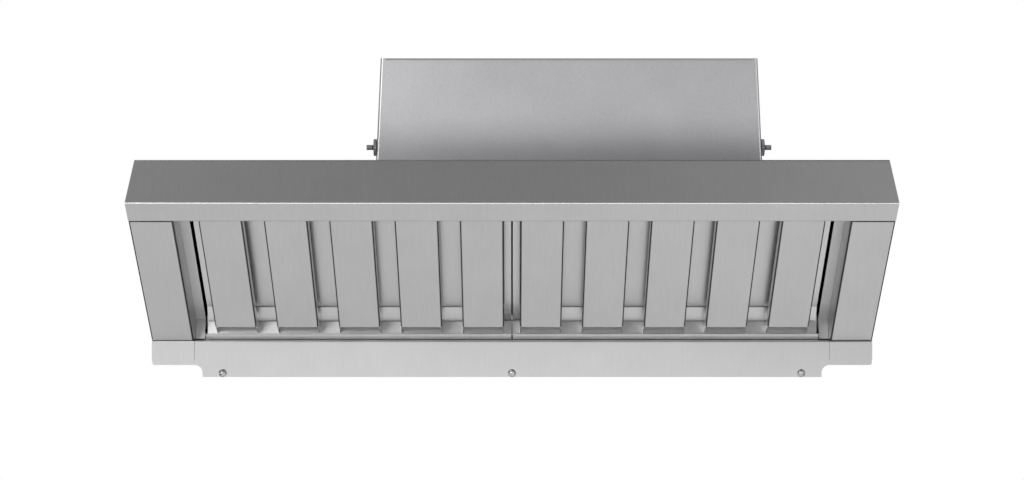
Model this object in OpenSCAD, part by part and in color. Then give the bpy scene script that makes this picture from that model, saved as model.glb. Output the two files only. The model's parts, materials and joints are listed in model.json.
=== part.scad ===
/* [Hood body] */
// Width over the two end cheeks
body_w = 850; // [800:10:1000]
// Depth from the oven's front face to the back panel
body_d = 700; // [660:10:800]
// Height from the oven's roof to the top of the cover
body_h = 237.5; // [230:0.5:250]
// Thickness of the casing sheet
sheet_t = 1.2; // [1:0.1:1.5]
// Inside radius of a casing bend
bend_r = 0.8; // [0.6:0.1:1.2]
// Gap left between casing pieces that meet edge to edge
seam_gap = 0.5; // [0.3:0.1:0.8]
// Height that the rubber strips hold the tray above the oven's roof
strip_h = 6; // [4:0.5:8]
// Width of each rubber strip
strip_w = 30; // [20:1:40]
// Inset of the rubber strips from the tray's edges
strip_inset = 25; // [22:1:40]
// Height of the tray's turned-up side rims
tray_rim = 20; // [14:1:21]
// Height of the tray's rear rim, which the drain passes through
rear_rim = 45; // [44:1:50]
// Width of the flanges that the cover and back panel screw to
wall_flange = 15; // [12:1:20]

/* [Casing screws] */
// Diameter of the casing screws
case_screw_d = 4; // [3:0.5:5]
// Diameter of their pan heads
case_head_d = 7.6; // [6:0.1:9]
// Height of their pan heads
case_head_h = 2.6; // [2:0.1:3]
// Length of the casing screws under the head
case_screw_l = 8; // [5:1:10]
// Number of screws along each side of the cover
cover_screw_n = 5; // [3:1:8]
// Distance of the cover's first and last screws from its ends
cover_screw_in = 60; // [40:5:100]
// Number of screws along each side of the back panel
rear_screw_n = 4; // [2:1:6]
// Height of the back panel's lowest screws above the oven's roof
rear_screw_z = 70; // [60:1:90]
// Distance of its topmost screws below the cover
rear_screw_in = 20; // [12:1:30]

/* [Louvres] */
// Number of louvres in the back panel
louvre_n = 6; // [3:1:7]
// Width of a louvre
louvre_w = 118; // [80:2:140]
// How far a louvre stands out
louvre_r = 7; // [5:0.5:8]
// Distance between louvres
louvre_pitch = 22; // [18:1:24]
// Sideways place of the louvres' middle
louvre_x = -120; // [-150:5:-110]
// Height of the lowest louvre above the oven's roof
louvre_z = 60; // [50:5:80]

/* [Visor] */
// How far the visor's tip stands out in front of the oven
visor_reach = 150.5; // [140:0.5:165]
// Height of the tip above the oven's roof
tip_h = 188; // [180:0.5:192]
// How far the visor's top edge lies behind its tip
visor_run = 52; // [46:0.5:58]
// Width of the lip that runs down from the tip
visor_lip = 28.3; // [24:0.1:32]
// Depth of the safe edge at the end of the lip
lip_return = 2.6; // [2.4:0.1:2.8]
// Width of the visor's flange under the cover
visor_flange = 25; // [18:1:30]

/* [Front flange] */
// Height of the front flange above the oven's roof
flange_h = 29; // [26:0.5:32]
// How far its middle plate reaches below the oven's roof
tab_drop = 14.2; // [12:0.2:20]
// Distance from each side of the body to the seam beside the middle plate
seam_in = 51; // [49:0.5:60]
// Radius of the notch in each lower corner of the middle plate
notch_r = 9; // [6:0.5:10]
// Inset of each ear's outer edge from the side of the body
ear_inset = 0.8; // [0.4:0.1:2]
// Radius of each ear's outer lower corner
ear_corner_r = 3; // [1:0.5:6]
// Depth of the shelf that the flange turns back to
shelf_d = 22; // [18:1:26]

/* [Fixing screws] */
// Distance from each side of the body to the outer screw
screw_in = 84; // [70:1:120]
// How far the screws sit below the oven's roof
screw_drop = 9.5; // [8:0.1:10]
// Diameter of the screw's shank
screw_d = 5; // [4:0.5:6]
// Diameter of the screw's neck in the plate's hole
screw_neck = 5.5; // [5:0.1:7]
// Diameter of the screw's pan head
screw_head_d = 9.4; // [8:0.1:10]
// Height of the screw's pan head
screw_head_h = 3.2; // [2.5:0.1:4]
// Length of the screw behind the plate
screw_l = 12; // [8:1:16]

/* [End cheeks] */
// Width of the side panels beside the filters
panel_w = 49.5; // [46:0.5:54]
// Depth of the wall that turns in beside the filters
wall_depth = 29.5; // [28:0.5:36]
// Width of the guide lip that shows behind that wall
guide_lip = 11.5; // [9:0.5:12]
// Length of the guide's leg against the wall
guide_leg = 18; // [12:1:24]

/* [Filters] */
// Gap between a filter and the guide lip beside it
filter_side = 7.4; // [4:0.1:9]
// Thickness of a filter
filter_thick = 26; // [24:0.5:30]
// Gap between the two filters
filter_gap = 2; // [1:0.2:3]
// How far the filters' faces lie behind the side panels' faces
filter_set = 3.2; // [3:0.1:4]
// Distance from the tip down to the filters' top edge
filter_top = 19; // [18:0.5:24]
// How far the filters' lower edge reaches past the flange's top corner, along the slope
filter_foot = 0.7; // [0:0.1:0.8]
// Thickness of the filters' sheet
filter_t = 1; // [0.8:0.1:1.2]
// Inside radius of a filter bend
filter_r = 0.8; // [0.6:0.1:1.2]
// Number of front baffles in one filter
baffle_n = 5; // [3:1:6]
// Width of the strip along each side of a filter
side_strip = 8.35; // [7:0.05:12]
// Gap between two front baffles
baffle_gap = 24; // [18:0.5:26]
// Depth of a front baffle's legs
baffle_leg = 12; // [8:0.5:13]
// How far a rear baffle reaches behind the front baffles on each side
rear_lap = 10; // [6:0.5:12]
// Depth of a rear baffle's legs
rear_leg = 12; // [8:0.5:13]
// Height of the filters' bottom rail strip
rail_strip = 7.6; // [6:0.2:10]
// Width of the groove between the front baffles' ends and the rail
rail_gap = 10.9; // [9:0.1:12]
// Slant of the groove's lower side, in degrees from the filters' faces
groove_turn = 57; // [50:1:70]
// How far the groove's bottom reaches up behind the front baffles
groove_l = 16; // [12:1:24]
// Depth of the bottom rail's turned-in lower edge
rail_return = 6; // [4:0.5:8]
// How much wider the drain openings are than the gaps between the front baffles
drain_over = 1; // [0:0.2:2]
// Radius of the drain openings' lower corners
drain_r = 3.5; // [2:0.5:5]
// Width of the strip along the filters' top edge
top_strip = 9; // [8:0.5:12]
// Travel of a filter up into the visor when it is lifted out
filter_lift = 15; // [12:0.5:16]

/* [Gutter] */
// Distance of the gutter's front edge behind the oven's front face
gutter_y = 10; // [6:1:16]
// Height of the gutter's rear wall
gutter_wall = 28; // [24:1:34]
// Inset of the filters' rests from their sides
rest_in = 30; // [14:1:60]
// Depth of the rests' teeth behind the side panels' faces
hook_in = 9.8; // [9.5:0.1:12]
// Width of the rests' teeth
hook_w = 4; // [3:0.5:6]
// Height of the rests' teeth, which hold the filters' lower ends
hook_h = 8; // [5:0.5:8]

/* [Outlet] */
// Sideways offset of the outlet and its cowl from the hood's middle
outlet_x = 70.6; // [0:0.2:120]
// Distance of the outlet's front edge behind the oven's front face
outlet_y = 111; // [110:1:120]
// Width of the outlet opening
outlet_w = 440; // [400:5:450]
// Depth of the outlet opening
outlet_d = 136; // [120:2:150]
// Height of the collar round the outlet
collar_h = 20; // [14:1:21]
// Width of the collar's foot flange
collar_foot = 12; // [8:1:14]
// Number of wires across the outlet guard
guard_n = 9; // [5:1:15]
// Thickness of the guard's wires
guard_wire = 3; // [2:0.5:4]
// Width of the brackets that carry the cowl's studs
bracket_w = 16; // [14:1:18]

/* [Cowl] */
// Distance of the cowl's front face behind the oven's front face
cowl_y = 100; // [60:2:140]
// How far the cowl reaches beyond the outlet on each side, at its pivot
cowl_over = 17.8; // [16:0.2:30]
// Lean of each side of the cowl from upright, in degrees
cowl_lean = 2.6; // [1:0.1:3]
// Height of the cowl's lower edge above the cover
cowl_foot = 6.5; // [5:0.5:9]
// Height of the cowl's top edge above the cover
cowl_top = 134.5; // [110:0.5:160]
// Depth of the cowl's sides at their top
cowl_side = 86; // [70:1:110]
// Outside radius of the cowl's long bends
cowl_bend = 3; // [2.2:0.1:4]
// Width of the stiffening edges along the cowl's top and foot
cowl_edge = 6; // [4.5:0.5:7]
// Distance of the pivot behind the cowl's front face
pivot_in = 12; // [11:0.5:14]
// Height of the pivot above the cover
pivot_up = 24.7; // [24:0.1:30]
// How far the cowl tilts back, in degrees
cowl_tilt = 30; // [10:1:35]
// Diameter of the pivot studs
stud_d = 5; // [4:0.5:5]
// Diameter of the shoulder on each stud
shoulder_d = 10; // [9:0.5:14]
// Diameter of the clamp discs
disc_d = 21; // [16:0.5:22]
// Thickness of the clamp discs
disc_t = 3.4; // [2:0.1:4]
// Outside diameter of the rubber rings
ring_d = 6.2; // [6:0.1:9]
// Thickness of the rubber rings
ring_t = 2; // [1:0.1:3]
// Diameter of the sleeve nuts
cap_d = 6.4; // [6:0.1:9]
// Length of the sleeve nuts
cap_l = 7; // [5:0.5:10]

/* [Fan] */
// How far the fan chamber reaches beyond the outlet on each side
chamber_over = 25.5; // [20:0.5:30]
// Distance of the fan chamber's front wall behind the oven's front face
chamber_y = 96; // [60:2:97]
// Distance of the inlet wall behind the oven's front face
inlet_y = 290; // [286:1:296]
// Distance of the condenser's back behind the oven's front face
chamber_end = 360; // [356:1:380]
// Height of the fan's axle above the oven's roof
fan_z = 122; // [115:1:128]
// Diameter of the fan wheel
wheel_d = 190; // [170:2:200]
// Width of the fan wheel's blades
blade_w = 45; // [35:1:48]
// Number of blades
blade_n = 8; // [6:1:10]
// Diameter of the fan wheel's eye
eye_d = 130; // [115:1:135]
// How far the inlet ring's mouth reaches outside the eye
mouth_gap = 10; // [6:1:14]
// Thickness of the fan wheel's discs and blades
wheel_t = 2; // [1.5:0.1:2.5]
// Running gap between the fan wheel and what stands still
run_gap = 2; // [1.5:0.1:3]
// Diameter of the motor
motor_d = 92; // [80:1:100]
// Length of the motor
motor_l = 56; // [50:1:60]
// Diameter of the motor's axle
axle_d = 8; // [6:0.5:10]
// Distance between the fan wheel and the inlet wall
wheel_gap = 24; // [16:1:30]
// Diameter of the fan wheel's hub
hub_d = 40; // [30:1:50]
// Length of the fan wheel's hub
hub_l = 14; // [10:1:20]

/* [Condenser] */
// Number of cooling fins
fin_n = 24; // [12:1:30]
// Thickness of a cooling fin
fin_t = 0.8; // [0.5:0.1:1]
// Number of tube passes, one above the other
tube_n = 6; // [4:2:8]
// Distance between tube passes
tube_pitch = 34; // [30:1:36]
// Diameter of the tube
tube_d = 15; // [12:0.5:18]
// Depth of the fins
fin_d = 46; // [40:1:50]
// Gap above and below the fins
fin_off = 11.5; // [9:0.5:15]
// Gap between the inlet wall and the fins
fin_gap = 12; // [6:1:20]
// Thickness of the plates that carry the tube
plate_t = 2; // [1.5:0.5:3]

/* [Connections] */
// Bore of the steam collar over the oven's vent
steam_d = 80; // [60:1:100]
// Sideways place of the steam collar
steam_x = -150; // [-250:10:0]
// Distance of the steam collar from the back panel
steam_back = 130; // [80:5:160]
// Height of the steam collar above the tray
steam_h = 50; // [30:1:60]
// Outside diameter of the drain spigot
drain_d = 25; // [20:1:32]
// Distance of the drain spigot from the body's right side
drain_in = 175; // [110:5:220]
// Diameter of the water inlet's thread
water_d = 26.4; // [20:0.2:30]
// Distance of the water inlet from the fan chamber's side
water_off = 23.9; // [20:0.1:50]
// Height of the water inlet above the oven's roof
water_z = 110; // [90:5:150]
// How far spigots stand out behind the back panel
spigot_out = 28; // [20:1:40]
// How much thicker spigots are where they pass the back panel
spigot_step = 0.5; // [0.2:0.1:1]
// Wall of spigots and collars
pipe_wall = 1.5; // [1:0.1:2]
// Width of the drain spigot's inner flange
drain_flange = 6; // [4:0.5:8]
// Depth of the water inlet's inner flange
inlet_flange = 5; // [3:0.5:6]
// Depth of the water valve's block
valve_d = 44; // [36:1:50]
// Diameter of the water pipe
pipe_d = 12; // [8:0.5:14]
// Radius of the water pipe's bends
pipe_r = 12; // [10:1:16]

/* [Control box] */
// Width of the control box
box_w = 160; // [120:5:200]
// Depth of the control box
box_d = 110; // [80:5:140]
// Height of the control box
box_h = 90; // [60:5:110]
// Distance of the box's middle from the body's left side
box_in = 105; // [95:5:130]
// Height of the box's foot above the oven's roof
box_z = 60; // [40:5:80]
// Thickness of the box's sheet
box_t = 1.5; // [1:0.1:2]
// Diameter of the cable gland's thread
gland_d = 20; // [16:1:25]
// Width of the gland's nuts across their flats
gland_af = 24; // [22:1:30]
// Diameter of the gland's cable hole
gland_bore = 11; // [8:0.5:14]

/* [Hidden] */
$fn = 48;
fit_gap = 0.3;
clear = 1;
much = 2000;

half_w = body_w / 2;
cover_z = body_h - sheet_t;
slope_a = atan2(tip_h - flange_h, visor_reach);
slope_len = (tip_h - flange_h) / sin(slope_a);
visor_a = atan2(body_h - tip_h, visor_run);
face_len = (cover_z - tip_h) / sin(visor_a);
corner_a = slope_a + visor_a;
tab_w = body_w - 2 * seam_in;
screw_pitch = half_w - screw_in;
panel_in = half_w - panel_w;
guide_in = panel_in - guide_lip;
filter_x = filter_gap / 2;
filter_w = guide_in - filter_side - filter_x;
filter_end = slope_len + filter_foot;
filter_back = filter_set + filter_thick;
baffle_w = (filter_w - 2 * side_strip - (baffle_n - 1) * baffle_gap) / baffle_n;
baffle_pitch = baffle_w + baffle_gap;
baffle_end = filter_end - rail_strip - rail_gap;
rear_floor = filter_back - 2 * filter_t;
groove_n = filter_set + baffle_leg;
strip_from = filter_end - rail_strip;
groove_end = strip_from - baffle_leg / tan(groove_turn);
gutter_back = slope_pt(filter_end, filter_back)[0] + 2 * clear;
baffle_top = filter_top + top_strip + fit_gap;
cowl_half = outlet_w / 2 + cowl_over;
pivot_y = cowl_y + pivot_in;
pivot_z = body_h + pivot_up;
cowl_low = pivot_up - cowl_foot;
cowl_high = cowl_top - pivot_up;
disc_x = cowl_half + disc_d / 2 * tan(cowl_lean) + fit_gap;
chamber_half = outlet_w / 2 + chamber_over;
tray_z = strip_h + sheet_t;
back_y = body_d - sheet_t;
collar_half = cowl_half - sheet_t - 2 * clear;
wheel_front = inlet_y - blade_w - 2 * wheel_t - wheel_gap;
motor_y = wheel_front - run_gap - motor_l;
condenser_y = inlet_y + sheet_t + fin_gap;
condenser_half = chamber_half - sheet_t;
fins_half = condenser_half - tube_pitch / 2 - tube_d / 2 - 2 * clear;
tube_y = condenser_y + fin_d / 2;
fin_h = cover_z - tray_z - 2 * fin_off;
fin_z = tray_z + fin_off;
tube_z = fin_z + (fin_h - (tube_n - 1) * tube_pitch) / 2;
steam_y = body_d - steam_back;
steam_r = steam_d / 2;
drain_x = half_w - drain_in;
water_x = outlet_x + chamber_half + water_off;
box_x = box_in - half_w;
drain_z = tray_z + drain_d / 2 + drain_flange + clear;
valve_y = back_y - inlet_flange;
box_y = back_y - box_d;
gland_z = box_z + box_h / 2;
brass = [0.78, 0.62, 0.3];
pale_plastic = [0.85, 0.85, 0.8];
stainless = [0.72, 0.72, 0.73];
dull_steel = [0.55, 0.56, 0.58];
bright_steel = [0.8, 0.8, 0.81];
rubber = [0.13, 0.13, 0.14];
copper = [0.72, 0.45, 0.3];
aluminium = [0.8, 0.82, 0.84];
black_plastic = [0.1, 0.1, 0.11];

// A point of the side view: so far down the slope from the tip, and so deep behind its face
function slope_pt(down, deep) = [
    -visor_reach + down * cos(slope_a) + deep * sin(slope_a),
    tip_h - down * sin(slope_a) + deep * cos(slope_a)
];
// A point of the side view: so far up the visor's face from the tip, and so deep behind it
function visor_pt(up, deep) = [
    -visor_reach + up * cos(visor_a) + deep * sin(visor_a),
    tip_h + up * sin(visor_a) - deep * cos(visor_a)
];

// Sizes are taken from the oven's roof, and the part's zero is the middle fixing screw
module placed() {
    translate([0, 0, screw_drop])
        children();
}

// The slope's frame: y runs down the slope from the tip, z goes in behind its face
module on_slope() {
    translate([0, -visor_reach, tip_h])
        rotate([-slope_a, 0, 0])
            children();
}

// A side view drawn as depth and height, stretched from one side to the other
module across(from, to) {
    translate([from, 0, 0])
        rotate([90, 0, 90])
            linear_extrude(to - from)
                children();
}

// A section drawn as width and depth, stretched down the slope
module down_slope(from, to) {
    translate([0, to, 0])
        rotate([90, 0, 0])
            linear_extrude(to - from)
                children();
}

// A front view drawn as width and height, stretched backwards
module backwards(from, to) {
    translate([0, to, 0])
        rotate([90, 0, 0])
            linear_extrude(to - from)
                children();
}

// Part of a ring between two angles less than half a turn apart
module arc_band(inner, t, from, to) {
    far = 3 * (inner + t);
    middle = (from + to) / 2;
    intersection() {
        difference() {
            circle(inner + t);
            circle(inner);
        }
        polygon([
            [0, 0],
            [far * cos(from), far * sin(from)],
            [far * cos(middle), far * sin(middle)],
            [far * cos(to), far * sin(to)]
        ]);
    }
}

// What a bend takes off the flat run beside it
function setback(turn, t, r) = (turn > 0 ? r + t : r) * tan(abs(turn) / 2);

// A folded sheet seen end on: flat runs measured corner to corner along its right side,
// with a turn after each run, to the left where it is positive
module folded(runs, turns, t, r, k = 0) {
    before = k > 0 ? setback(turns[k - 1], t, r) : 0;
    after = k < len(turns) ? setback(turns[k], t, r) : 0;
    flat = runs[k] - before - after;
    square([flat, t]);
    if (k < len(turns)) {
        turn = turns[k];
        centre = turn > 0 ? r + t : -r;
        translate([flat, centre]) {
            if (turn > 0)
                arc_band(r, t, -90, turn - 90);
            else
                arc_band(r, t, 90 + turn, 90);
            rotate(turn)
                translate([0, -centre])
                    folded(runs, turns, t, r, k + 1);
        }
    }
}

// The visor: the leaning face, its lip and the flange under the cover
module visor() {
    color(stainless) placed()
        across(-half_w, half_w)
            translate(visor_pt(face_len, 0) + [visor_flange, 0])
                rotate(180)
                    folded([visor_flange, face_len, visor_lip, lip_return],
                        [visor_a, 180 - visor_a - slope_a, 90], sheet_t, bend_r);
}

// One end: the outer side, the panel beside the filters and the wall that turns in
module end_cheek() {
    top = visor_lip + seam_gap;
    seat = 0.1;
    inside = lip_return + seat;
    wall = wall_depth - bend_r;
    top_z = cover_z - sheet_t - fit_gap;
    side_top = (top_z - tip_h + (sheet_t + seat) * cos(visor_a)) / sin(visor_a);
    side_front = (sheet_t + seat + inside * cos(corner_a)) / sin(corner_a);
    difference() {
        intersection() {
            on_slope()
                down_slope(top, slope_len + much)
                    translate([panel_in, wall])
                        rotate(-90)
                            folded([wall, panel_w, wall], [90, 90], sheet_t, bend_r);
            across(0, half_w)
                translate([-much, flange_h + seam_gap])
                    square([much + wall_depth, much]);
        }
        translate([half_w - sheet_t, 0, 0])
            cube([sheet_t, body_d, body_h]);
    }
    across(half_w - sheet_t, half_w)
        polygon([
            slope_pt(side_front, inside),
            [0, flange_h + inside / cos(slope_a)],
            [0, top_z],
            visor_pt(side_top, sheet_t + seat)
        ]);
}

module end_cheek_left() {
    color(stainless) placed() mirror([1, 0, 0]) end_cheek();
}

module end_cheek_right() {
    color(stainless) placed() end_cheek();
}

// The angle behind that wall, whose lip shows beside the filter
module filter_guide() {
    intersection() {
        on_slope()
            down_slope(visor_lip + seam_gap, slope_len + much)
                translate([guide_in, wall_depth])
                    folded([guide_lip + sheet_t, guide_leg], [-90], sheet_t, bend_r);
        across(0, half_w)
            translate([-much, flange_h + seam_gap])
                square([much + wall_depth, much]);
    }
}

module filter_guide_left() {
    color(stainless) placed() mirror([1, 0, 0]) filter_guide();
}

module filter_guide_right() {
    color(stainless) placed() filter_guide();
}

// The angle between the cheeks that the filters' top edges lean on
module top_rail() {
    rail_leg = 14;
    visor_off = 5;
    deep = filter_back + fit_gap + rail_leg;
    start = visor_off + deep / tan(corner_a);
    color(stainless) placed()
        on_slope()
            across(-half_w + sheet_t, half_w - sheet_t)
                translate([start, deep])
                    rotate(-90)
                        folded([rail_leg, visor_lip - start], [90], sheet_t, bend_r);
}

// The gutter under the filters: a flat floor on the shelf, a rear wall and four rests
module gutter() {
    width = guide_in - seam_gap;
    foot_z = flange_h + sheet_t;
    color(stainless) placed() {
        across(-width, width)
            translate([gutter_y, flange_h])
                folded([gutter_back + sheet_t - gutter_y, gutter_wall + sheet_t], [90], sheet_t, bend_r);
        for (side = [0, 1])
            mirror([side, 0, 0])
                for (x = [filter_x + rest_in, filter_x + filter_w - rest_in])
                    across(x, x + sheet_t)
                        gutter_rest(foot_z);
    }
}

// A gusset between the gutter's floor and wall that a filter stands on, with a tooth inside the filter
module gutter_rest(foot_z) {
    seat = filter_end + fit_gap;
    sunk = sheet_t / 2;
    back = (gutter_back + sunk - slope_pt(seat, 0)[0]) / sin(slope_a);
    polygon([
        [gutter_y + clear, foot_z - sunk],
        slope_pt(seat, hook_in),
        slope_pt(seat - hook_h, hook_in),
        slope_pt(seat - hook_h, hook_in + hook_w),
        slope_pt(seat, hook_in + hook_w),
        slope_pt(seat, back),
        [gutter_back + sunk, foot_z - sunk]
    ]);
}

// The flange's side view: the shelf, its bend and the plate in front of the oven
module flange_profile(drop) {
    translate([shelf_d, flange_h])
        rotate(180)
            folded([shelf_d + sheet_t, flange_h + drop], [90], sheet_t, bend_r);
}

// The middle plate of the flange, which is screwed to the oven
module front_tab() {
    half = tab_w / 2;
    narrow = half - notch_r;
    color(stainless) placed()
        difference() {
            intersection() {
                across(-half, half)
                    flange_profile(tab_drop);
                backwards(-sheet_t - clear, shelf_d + clear) {
                    translate([-half, 0])
                        square([tab_w, flange_h + clear]);
                    difference() {
                        translate([-half, -notch_r])
                            square([tab_w, notch_r]);
                        for (side = [-1, 1])
                            translate([side * half, -notch_r])
                                circle(notch_r);
                    }
                    translate([-narrow, -tab_drop])
                        square([2 * narrow, tab_drop]);
                }
            }
            for (k = [-1, 0, 1])
                translate([k * screw_pitch, clear, -screw_drop])
                    rotate([90, 0, 0])
                        cylinder(d = screw_neck, h = sheet_t + 2 * clear);
        }
}

// A corner ear of the flange
module ear() {
    from = tab_w / 2 + seam_gap;
    to = half_w - ear_inset;
    difference() {
        intersection() {
            across(from, to)
                flange_profile(0);
            backwards(-sheet_t - clear, shelf_d + clear) {
                translate([from, 0])
                    square([to - from - ear_corner_r, flange_h + clear]);
                translate([from, ear_corner_r])
                    square([to - from, flange_h + clear]);
                translate([to - ear_corner_r, ear_corner_r])
                    circle(ear_corner_r);
            }
        }
        translate([half_w - sheet_t, 0, 0])
            cube([sheet_t, body_d, body_h]);
    }
}

module ear_left() {
    color(stainless) placed() mirror([1, 0, 0]) ear();
}

module ear_right() {
    color(stainless) placed() ear();
}

// A pan-head screw along z: the head above zero, the shank below, with a cross recess
module pan_screw(d, head_d, head_h, l) {
    dome = (head_d * head_d / 4 + head_h * head_h) / (2 * head_h);
    slot = head_d * 0.5;
    width = head_d * 0.13;
    difference() {
        intersection() {
            translate([0, 0, head_h - dome])
                sphere(dome);
            cylinder(d = head_d, h = head_h);
        }
        for (turn = [0, 90])
            rotate(turn)
                translate([-slot / 2, -width / 2, head_h * 0.45])
                    cube([slot, width, head_h]);
    }
    translate([0, 0, -l])
        cylinder(d = d, h = l + head_h * 0.3);
}

module tab_screws() {
    color(bright_steel) placed()
        for (k = [-1, 0, 1])
            translate([k * screw_pitch, -sheet_t, -screw_drop])
                rotate([90, 0, 0]) {
                    pan_screw(screw_d, screw_head_d, screw_head_h, screw_l + sheet_t);
                    translate([0, 0, -sheet_t])
                        cylinder(d = screw_neck, h = sheet_t);
                }
}

// The tray that stands on the oven's roof and catches condensate
module base_tray() {
    inner = half_w - 2 * sheet_t;
    front_rim = flange_h - sheet_t - bend_r - strip_h;
    color(dull_steel) placed()
        difference() {
            union() {
                across(-half_w + sheet_t, half_w - sheet_t)
                    translate([0, strip_h + front_rim])
                        rotate(-90)
                            folded([front_rim, back_y, rear_rim], [90, 90], sheet_t, bend_r);
                for (side = [0, 1])
                    mirror([side, 0, 0])
                        translate([inner, sheet_t, strip_h])
                            cube([sheet_t, back_y - 2 * sheet_t, tray_rim]);
            }
            translate([steam_x, steam_y, 0])
                cylinder(r = steam_r + pipe_wall + fit_gap, h = body_h);
            translate([drain_x, body_d, drain_z])
                rear_hole(drain_d + 2 * spigot_step);
        }
}

// A clearance hole through what stands at the back
module rear_hole(d) {
    deep = 4 * sheet_t;
    translate([0, clear, 0])
        rotate([90, 0, 0])
            cylinder(d = d + 2 * fit_gap, h = deep + clear);
}

// The rubber strips under the tray's front and back
module roof_strips() {
    long = half_w - 2 * strip_inset;
    color(rubber) placed()
        for (y = [strip_inset, back_y - strip_inset - strip_w])
            translate([-long, y, 0])
                cube([2 * long, strip_w, strip_h]);
}

// One side of the body behind the oven's front, with flanges for the cover and the back panel
module side_wall() {
    rear_from = strip_h + rear_rim + clear;
    flange_from = shelf_d + 2 * clear;
    flange_x = half_w - wall_flange;
    difference() {
        union() {
            translate([half_w - sheet_t, seam_gap, strip_h])
                cube([sheet_t, back_y - seam_gap, cover_z - strip_h]);
            translate([flange_x, flange_from, cover_z - sheet_t])
                cube([wall_flange, back_y - flange_from, sheet_t]);
            translate([flange_x, back_y - sheet_t, rear_from])
                cube([wall_flange, sheet_t, cover_z - rear_from]);
        }
        cover_screw_places()
            screw_hole(case_screw_d);
        rear_screw_places()
            screw_hole(case_screw_d);
    }
}

// Places of the cover's screws along its right side, upright, at the cover's top
module cover_screw_places() {
    step = (body_d - 2 * cover_screw_in) / (cover_screw_n - 1);
    for (k = [0:cover_screw_n - 1])
        translate([half_w - wall_flange / 2, cover_screw_in + k * step, body_h])
            children();
}

// Places of the back panel's screws along its right side, pointing back
module rear_screw_places() {
    step = (cover_z - rear_screw_in - rear_screw_z) / (rear_screw_n - 1);
    for (k = [0:rear_screw_n - 1])
        translate([half_w - wall_flange / 2, body_d, rear_screw_z + k * step])
            rotate([-90, 0, 0])
                children();
}

// What a casing screw's hole takes out, from its head's seat down
module screw_hole(d) {
    translate([0, 0, -case_screw_l])
        cylinder(d = d, h = case_screw_l + clear);
}

module side_wall_left() {
    color(stainless) placed() mirror([1, 0, 0]) side_wall();
}

module side_wall_right() {
    color(stainless) placed() side_wall();
}

// A pressed louvre on the back panel: a quarter-round scoop, open below
module louvre() {
    translate([-louvre_w / 2, 0, 0])
        rotate([0, 90, 0])
            intersection() {
                difference() {
                    cylinder(r = louvre_r, h = louvre_w);
                    translate([0, 0, sheet_t])
                        cylinder(r = louvre_r - sheet_t, h = louvre_w - 2 * sheet_t);
                }
                translate([-louvre_r, 0, 0])
                    cube([louvre_r, louvre_r, louvre_w]);
            }
}

// Places of the louvres, beside the control box
module louvre_places() {
    for (row = [0:louvre_n - 1])
        translate([louvre_x, body_d, louvre_z + row * louvre_pitch])
            children();
}

module rear_panel() {
    slot_w = louvre_w - 4 * sheet_t;
    slot_h = louvre_r - 2 * sheet_t;
    color(stainless) placed() {
        difference() {
            translate([-half_w, back_y, strip_h])
                cube([body_w, sheet_t, cover_z - strip_h]);
            louvre_places()
                translate([-slot_w / 2, -2 * sheet_t, 0])
                    cube([slot_w, 3 * sheet_t, slot_h]);
            translate([drain_x, body_d, drain_z])
                rear_hole(drain_d + 2 * spigot_step);
            translate([water_x, body_d, water_z])
                rear_hole(water_d + 2 * spigot_step);
            translate([box_x, body_d, gland_z])
                rear_hole(gland_d);
            for (side = [0, 1])
                mirror([side, 0, 0])
                    rear_screw_places()
                        screw_hole(case_screw_d + fit_gap);
        }
        louvre_places()
            louvre();
    }
}

// The cover over the whole top, from the visor's edge to the back
module top_cover() {
    front = visor_pt(face_len, 0)[0] + clear;
    color(stainless) placed()
        difference() {
            translate([-half_w, front, cover_z])
                cube([body_w, body_d - front, sheet_t]);
            translate([outlet_x - outlet_w / 2, outlet_y, cover_z - clear])
                cube([outlet_w, outlet_d, sheet_t + 2 * clear]);
            for (side = [0, 1])
                mirror([side, 0, 0])
                    cover_screw_places()
                        screw_hole(case_screw_d + fit_gap);
        }
}

module cover_screws() {
    color(bright_steel) placed()
        for (side = [0, 1])
            mirror([side, 0, 0])
                cover_screw_places()
                    pan_screw(case_screw_d, case_head_d, case_head_h, case_screw_l);
}

module rear_screws() {
    color(bright_steel) placed()
        for (side = [0, 1])
            mirror([side, 0, 0])
                rear_screw_places()
                    pan_screw(case_screw_d, case_head_d, case_head_h, case_screw_l);
}

// Frame of one filter: a rear plate round the baffles, side and top rails, the bottom rail with its groove
module filter_frame() {
    side_step = 5;
    rail_in = filter_set + side_step;
    groove_from = groove_end - groove_l;
    on_slope() translate([filter_x, 0, 0]) {
        translate([0, 0, filter_back - filter_t])
            linear_extrude(filter_t)
                difference() {
                    translate([0, filter_top])
                        square([filter_w, filter_end - filter_top]);
                    translate([side_strip - fit_gap, baffle_top])
                        square([filter_w - 2 * side_strip + 2 * fit_gap, groove_from - baffle_top]);
                }
        for (side = [0, 1])
            translate([side * filter_w, 0, 0])
                mirror([side, 0, 0])
                    down_slope(filter_top, filter_end)
                        translate([0, rail_in])
                            frame_channel(side_strip - clear, filter_back - rail_in);
        across(0, filter_w)
            translate([filter_top, filter_set + filter_t])
                frame_channel(top_strip, filter_thick - filter_t);
        difference() {
            across(0, filter_w)
                translate([groove_from, groove_n])
                    folded([groove_l, baffle_leg / sin(groove_turn), rail_strip, rail_return],
                        [-groove_turn, groove_turn, 90], filter_t, filter_r);
            for (k = [0:baffle_n])
                translate([side_strip + k * baffle_pitch - baffle_gap / 2, 0, 0])
                    drain_opening(groove_from);
        }
        for (x = [0, filter_w - filter_t])
            frame_end(x);
        for (k = [0:baffle_n - 1])
            translate([side_strip + k * baffle_pitch + baffle_w / 2, 0, 0])
                frame_post(groove_from);
    }
}

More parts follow.
